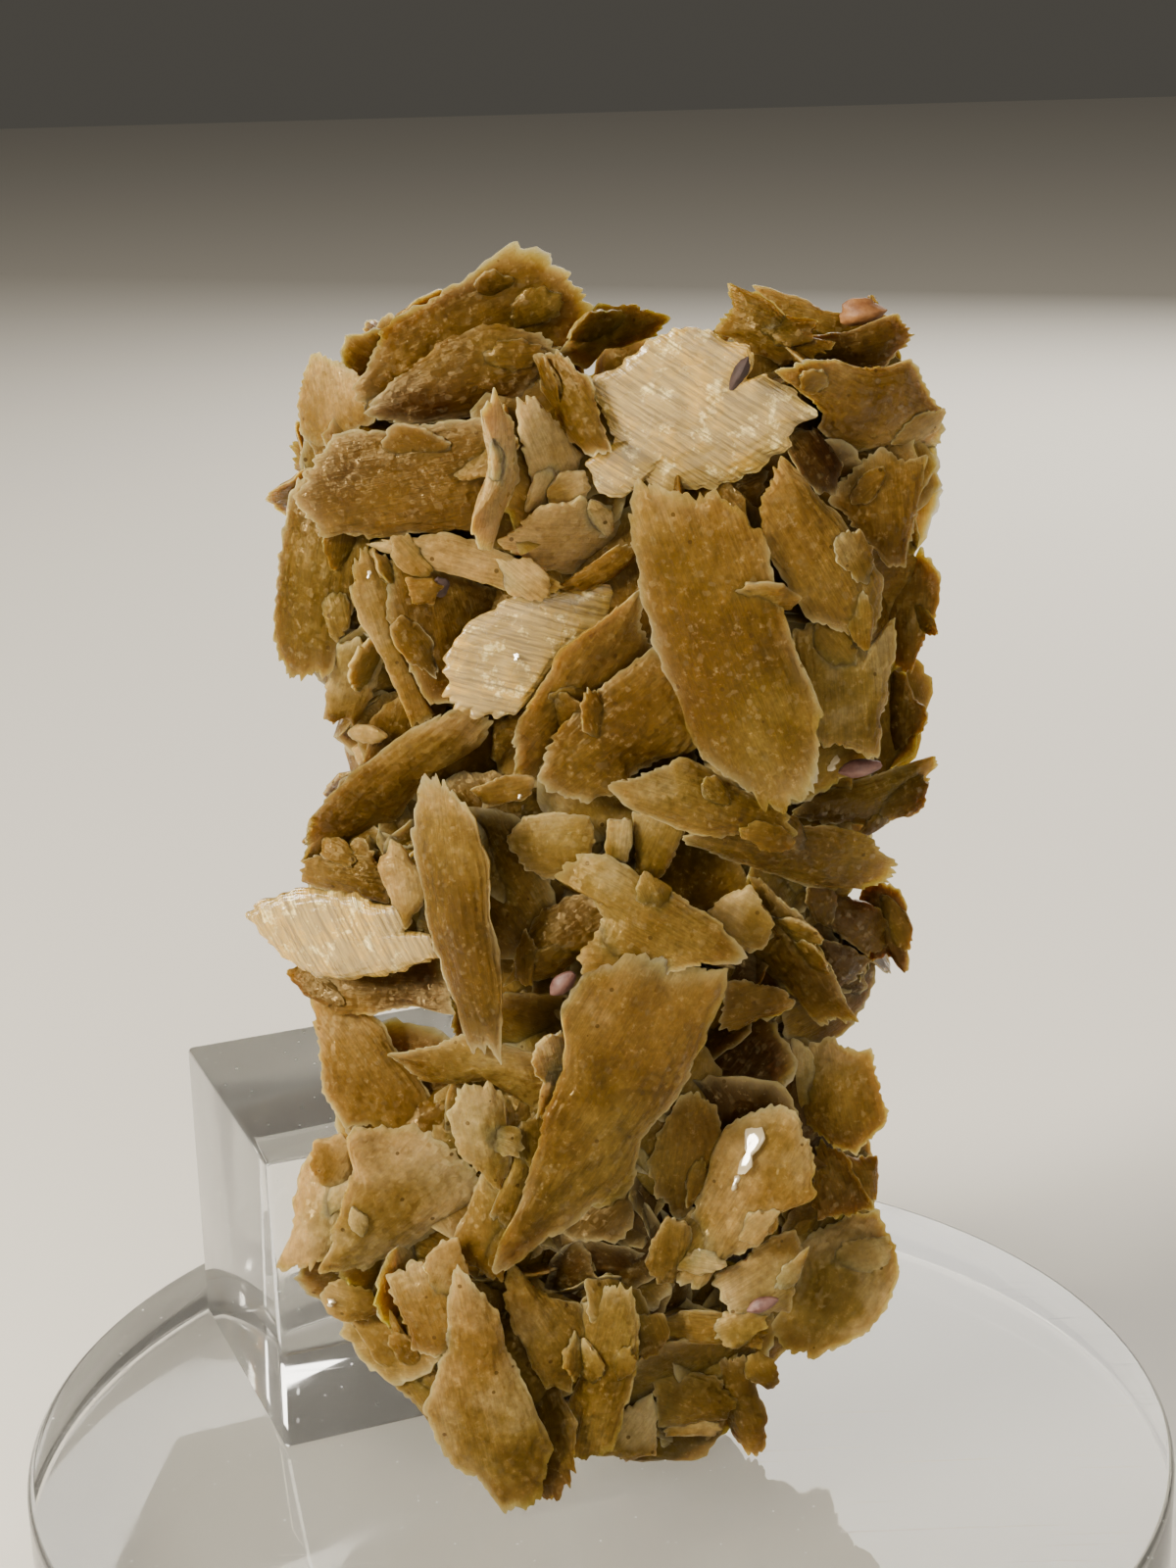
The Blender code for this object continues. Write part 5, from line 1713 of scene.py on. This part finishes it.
    def _filler(
        self, draw: np.random.Generator, place: np.ndarray, outward: np.ndarray,
        shade: float, order: int,
    ) -> Crystal:
        """One small crystal that lies on the matrix, more or less tilted."""
        front = outward[1] < FRONT_FACING
        if front:
            outward = unit(outward + 0.8 * np.array(FRONT))
        tilt = self.front_tilt if front else self.back_tilt
        along = draw.normal(size=3)
        along = unit(along - outward * np.dot(along, outward) * (1 - tilt))
        length = draw.uniform(*self.filler_length)
        edge = abs(outward[0]) > 0.6 and outward[1] < 0.3
        if front:
            rise = draw.uniform(0.0, 0.7) - self.recess
        else:
            rise = draw.uniform(-1.8, -0.6) if edge else draw.uniform(-0.9, 0.6)
        middle = place + outward * rise
        width = draw.uniform(*(self.front_width if front else self.back_width)) * length
        across = unit(np.cross(along, outward))
        middle = keep_in_trunk(middle, abs(along) * length / 2 + abs(across) * width)
        if outward[1] < 0.5:
            ends, sides = along * length * 0.45, across * width * 0.85
            reach = np.stack([ends, sides, (ends + sides) * 0.7, (ends - sides) * 0.7])
            middle = self.tucked_behind(middle, np.vstack([reach, -reach]))
        turn = turn_towards(along, np.cross(across, along))
        return plain(
            f"filler_{order}",
            tuple(middle + along * length / 2),
            tuple(middle - along * length / 2),
            width, width * draw.uniform(0.8, 1.15),
            turn + float(draw.normal(0, 9 if front else 28)),
            float(draw.uniform(1.4, 2.4)),
            float(draw.uniform(0.45, 0.62)),
            float(draw.uniform(0.3, 0.6)) - shade,
            Habit.LENS if draw.random() < self.lens_share else Habit.SLAB,
            int(draw.integers(2, 6)),
            small=True,
        )

    def build(self) -> list[bpy.types.Object]:
        """Build every piece of the cluster."""
        pieces = [
            self.region("crown_crystals", CROWN, 100),
            self.region("right_top_crystals", RIGHT_TOP, 200),
            self.region("waist_crystals", WAIST, 300, 170000),
            self.region("lower_left_crystals", LOWER_LEFT, 400),
            self.region("lower_right_crystals", LOWER_RIGHT, 500),
            self.region("back_crystals", SIDES_AND_BACK, 600, 60000),
            self.join("small_crystals", self.shaped(self.fillers(), 700), 180000),
            self.join("stem_crystals", self.shaped(self.stems(), 1500), 80000),
            self.grains(800),
            self.bright_facets(900),
            self.matrix(80000),
        ]
        self.shaper.finish()
        return pieces


def unit(vector: np.ndarray) -> np.ndarray:
    """The same direction with a length of 1."""
    return vector / np.linalg.norm(vector)


def turn_towards(along: np.ndarray, facing: np.ndarray) -> float:
    """The turn in degrees that makes a crystal face a given way.

    Args:
        along: The direction from its root to its tip.
        facing: The wanted direction of its face, square to the first one.

    Returns:
        The turn about the line from root to tip.
    """
    base = unit(np.array(FRONT) - along * np.dot(FRONT, along))
    return math.degrees(math.atan2(np.dot(np.cross(base, facing), along), np.dot(base, facing)))


# Squared share of a mass's radii within which a place counts as inside it.
INSIDE = 0.94


def inside_matrix(place: np.ndarray, skip: int) -> bool:
    """Whether a place lies inside another mass of matrix than its own."""
    for number, (centre, radii) in enumerate(MATRIX):
        gap = (place - np.array(centre)) / np.array(radii)
        if number != skip and np.dot(gap, gap) < INSIDE:
            return True
    return False


def depth_to_matrix(start: np.ndarray, away: np.ndarray) -> float:
    """How far the matrix lies from a place.

    Args:
        start: The place.
        away: The direction to look in.

    Returns:
        The distance to the nearest mass of matrix, 0 inside one, infinite if there is none.
    """
    nearest = math.inf
    for centre, radii in MATRIX:
        offset = (start - np.array(centre)) / np.array(radii)
        pace = away / np.array(radii)
        square, cross, rest = pace @ pace, offset @ pace, offset @ offset - 1
        if rest < 0:
            return 0.0
        under = cross * cross - square * rest
        if under > 0 and cross < 0:
            nearest = min(nearest, (-cross - math.sqrt(under)) / square)
    return nearest


# The see-through gap between two crystals: its x, its height at y = 0 and how that height changes
# with y, so that it follows the viewer's line of sight, and how far small crystals stay from it.
GAP_X = -11.0
GAP_HEIGHT = 40.6
GAP_SLOPE = -0.42
GAP_REACH = (5.5, 5.0)

# Small crystals stay this far above the block, to the right of it or before it, and off the disc.
OVER_BLOCK = 3.5
RIGHT_OF_BLOCK = 1.5
BEFORE_BLOCK = -7.5
LOWEST_CRYSTAL = 16.0

# The highest that small crystals may reach: over the left crown, the right one and between them.
LEFT_CROWN = (1, 86.0)
RIGHT_CROWN = (9, 84.5)
SADDLE_TOP = 80.0


def keep_in_trunk(middle: np.ndarray, reach: np.ndarray) -> np.ndarray:
    """Move a small crystal sideways and down so that it keeps to the trunk's outline.

    Args:
        middle: The crystal's middle.
        reach: How far it reaches along each axis.

    Returns:
        The middle, moved if it has to be.
    """
    heights, left, right = (np.array(column, dtype=float) for column in zip(*TRUNK))
    top = SADDLE_TOP
    if middle[0] < LEFT_CROWN[0]:
        top = LEFT_CROWN[1]
    elif middle[0] > RIGHT_CROWN[0]:
        top = RIGHT_CROWN[1]
    height = min(middle[2], top - reach[2])
    low = np.interp(height, heights, left) + reach[0] * 0.8
    high = np.interp(height, heights, right) - reach[0] * 0.8
    sideways = (low + high) / 2 if low > high else min(max(middle[0], low), high)
    return np.array([sideways, middle[1], height])


def clear_of_stand(place: np.ndarray) -> bool:
    """Whether a small crystal at this place stays off the stand and the see-through gap."""
    x, y, z = place
    block_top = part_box("rest_block")[1][2] / MM
    near_block = z < block_top + OVER_BLOCK and x < RIGHT_OF_BLOCK and y > BEFORE_BLOCK
    over_gap = abs(z - (GAP_HEIGHT + GAP_SLOPE * y))
    in_gap = abs(x - GAP_X) < GAP_REACH[0] and over_gap < GAP_REACH[1]
    return not near_block and not in_gap and z > LOWEST_CRYSTAL


@dataclass
class Stand:
    """The clear disc and the clear block that the cluster leans on.

    Attributes:
        disc_edge: Width of the disc's rounded edge, in millimetres.
        block_edge: Width of the block's rounded edges, in millimetres.
        block_side: Length of the block's sides, in millimetres.
        block_corner: Front left corner of the block, in millimetres.
        block_turn: The block's turn about the vertical, in degrees.
        around: Number of corners of the disc's rim.
        bevel_segments: Number of flats across a rounded edge.
        sharp: Edges that turn more than this many degrees are rounded.
        soften: Edges that turn less than this many degrees are smoothed.
    """

    disc_edge: float = 0.5
    block_edge: float = 0.35
    block_side: float = 20.5
    block_corner: tuple[float, float] = (-20.5, -3.9)
    block_turn: float = 21.5
    around: int = 192
    bevel_segments: int = 4
    sharp: float = 40.0
    soften: float = 25.0

    def disc(self) -> bpy.types.Object:
        """Model the disc from a cylinder, with its edges bevelled."""
        low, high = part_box("base_disc")
        deselect_all()
        bpy.ops.mesh.primitive_cylinder_add(
            vertices=self.around, radius=(high[0] - low[0]) / 2, depth=high[2] - low[2],
            location=(high + low) / 2,
        )
        disc = bpy.context.active_object
        disc.name = "clear_disc"
        self._round_edges(disc, self.disc_edge)
        return disc

    def block(self) -> bpy.types.Object:
        """Model the block from a cube, with its edges bevelled."""
        low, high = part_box("rest_block")
        side = self.block_side * MM
        turn = math.radians(self.block_turn)
        middle = Vector((side / 2, side / 2, 0.0))
        middle.rotate(Matrix.Rotation(turn, 3, "Z"))
        corner = Vector((*self.block_corner, 0.0)) * MM
        centre = corner + middle
        centre.z = (low[2] + high[2]) / 2
        deselect_all()
        bpy.ops.mesh.primitive_cube_add(size=side, location=centre, rotation=(0.0, 0.0, turn))
        block = bpy.context.active_object
        block.name = "clear_block"
        self._round_edges(block, self.block_edge)
        return block

    def _round_edges(self, obj: bpy.types.Object, width: float) -> None:
        """Bevel the sharp edges and smooth the bevels."""
        activate(obj)
        bevel = obj.modifiers.new("rounded", "BEVEL")
        bevel.width = width * MM
        bevel.segments = self.bevel_segments
        bevel.limit_method = "ANGLE"
        bevel.angle_limit = math.radians(self.sharp)
        bpy.ops.object.modifier_apply(modifier=bevel.name)
        bpy.ops.object.shade_smooth_by_angle(angle=math.radians(self.soften))
        apply_place(obj)

    def build(self) -> list[bpy.types.Object]:
        """Build and dress both pieces."""
        acrylic = AcrylicFinish().build()
        made = []
        for obj, node in ((self.disc(), "base_disc"), (self.block(), "rest_block")):
            obj.data.materials.clear()
            obj.data.materials.append(acrylic)
            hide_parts(node)
            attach(obj, "root")
            LOG.info("%s: %d faces", obj.name, len(obj.data.polygons))
            made.append(obj)
        return made


@dataclass
class Studio:
    """A pale floor, soft lights and the camera.

    Attributes:
        eye: The camera's place, in millimetres.
        pitch: How far it looks down, in degrees.
        roll: How far it is rolled, in degrees.
        lens: Focal length in millimetres.
        sensor: Length of the picture's long side on the sensor, in millimetres.
        aim: What the lights face, in metres.
        floor_size: Length of the floor's sides, in metres.
        floor_drop: How far the floor lies below the disc, in metres.
        floor_colour: The floor's colour.
        sky_colour: Colour of the light from all round.
        sky_strength: Strength of that light.
    """

    eye: Triple = VIEWER
    pitch: float = 17.65
    roll: float = -1.58
    lens: float = 61.9
    sensor: float = 36.0
    aim: Triple = (0.0, 0.0, 0.05)
    floor_size: float = 3.0
    floor_drop: float = 0.0001
    floor_colour: Triple = (0.88, 0.85, 0.79)
    sky_colour: Triple = (0.60, 0.56, 0.48)
    sky_strength: float = 0.12

    def floor(self) -> None:
        """Lay the floor under the disc."""
        deselect_all()
        bpy.ops.mesh.primitive_plane_add(
            size=self.floor_size, location=(0.0, 0.0, -self.floor_drop)
        )
        floor = bpy.context.active_object
        floor.name = "floor"
        sheet = NodeSheet(bpy.data.materials.new("pale_floor"))
        sheet.shader.inputs["Base Color"].default_value = (*self.floor_colour, 1.0)
        sheet.shader.inputs["Roughness"].default_value = 0.7
        floor.data.materials.append(sheet.material)

    def light(self, name: str, place: Triple, size: float, power: float, colour: Triple) -> None:
        """Hang one square light that faces the cluster.

        Args:
            name: The light's name.
            place: Where it hangs, in metres.
            size: Length of its side, in metres.
            power: Its strength in watts.
            colour: Its colour.
        """
        data = bpy.data.lights.new(name, "AREA")
        data.shape = "SQUARE"
        data.size = size
        data.energy = power
        data.color = colour
        lamp = bpy.data.objects.new(name, data)
        lamp.location = place
        beam = Vector(self.aim) - Vector(place)
        lamp.rotation_euler = beam.to_track_quat("-Z", "Y").to_euler()
        bpy.context.scene.collection.objects.link(lamp)

    def camera(self) -> None:
        """Place the camera."""
        data = bpy.data.cameras.new("camera")
        data.lens = self.lens
        data.sensor_width = self.sensor
        data.clip_start = 0.01
        camera = bpy.data.objects.new("camera", data)
        bpy.context.scene.collection.objects.link(camera)
        look = Matrix.Rotation(math.radians(90 - self.pitch), 4, "X")
        roll = Matrix.Rotation(math.radians(self.roll), 4, "Z")
        camera.matrix_world = Matrix.Translation(Vector(self.eye) * MM) @ look @ roll
        bpy.context.scene.camera = camera

    def build(self) -> None:
        """Set the whole studio up."""
        self.floor()
        self.light("key", tuple(np.array(KEY_LIGHT) * MM), 0.16, 8.5, (1.0, 0.91, 0.76))
        self.light("fill", (0.12, -0.52, 0.34), 0.40, 2.2, (1.0, 0.93, 0.82))
        self.light("back", (0.17, 0.47, 0.30), 0.30, 2.2, (1.0, 0.95, 0.86))
        world = bpy.data.worlds.new("studio")
        world.use_nodes = True
        background = world.node_tree.nodes["Background"]
        background.inputs["Color"].default_value = (*self.sky_colour, 1.0)
        background.inputs["Strength"].default_value = self.sky_strength
        bpy.context.scene.world = world
        self.camera()


def main() -> None:
    """Build the pieces in order and report them."""
    logging.basicConfig(level=logging.INFO, format="%(name)s: %(message)s")
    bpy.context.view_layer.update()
    for piece in CrystalCluster().build() + Stand().build():
        LOG.info("built %s", piece.name)
    Studio().build()


if __name__ == "__main__":
    main()
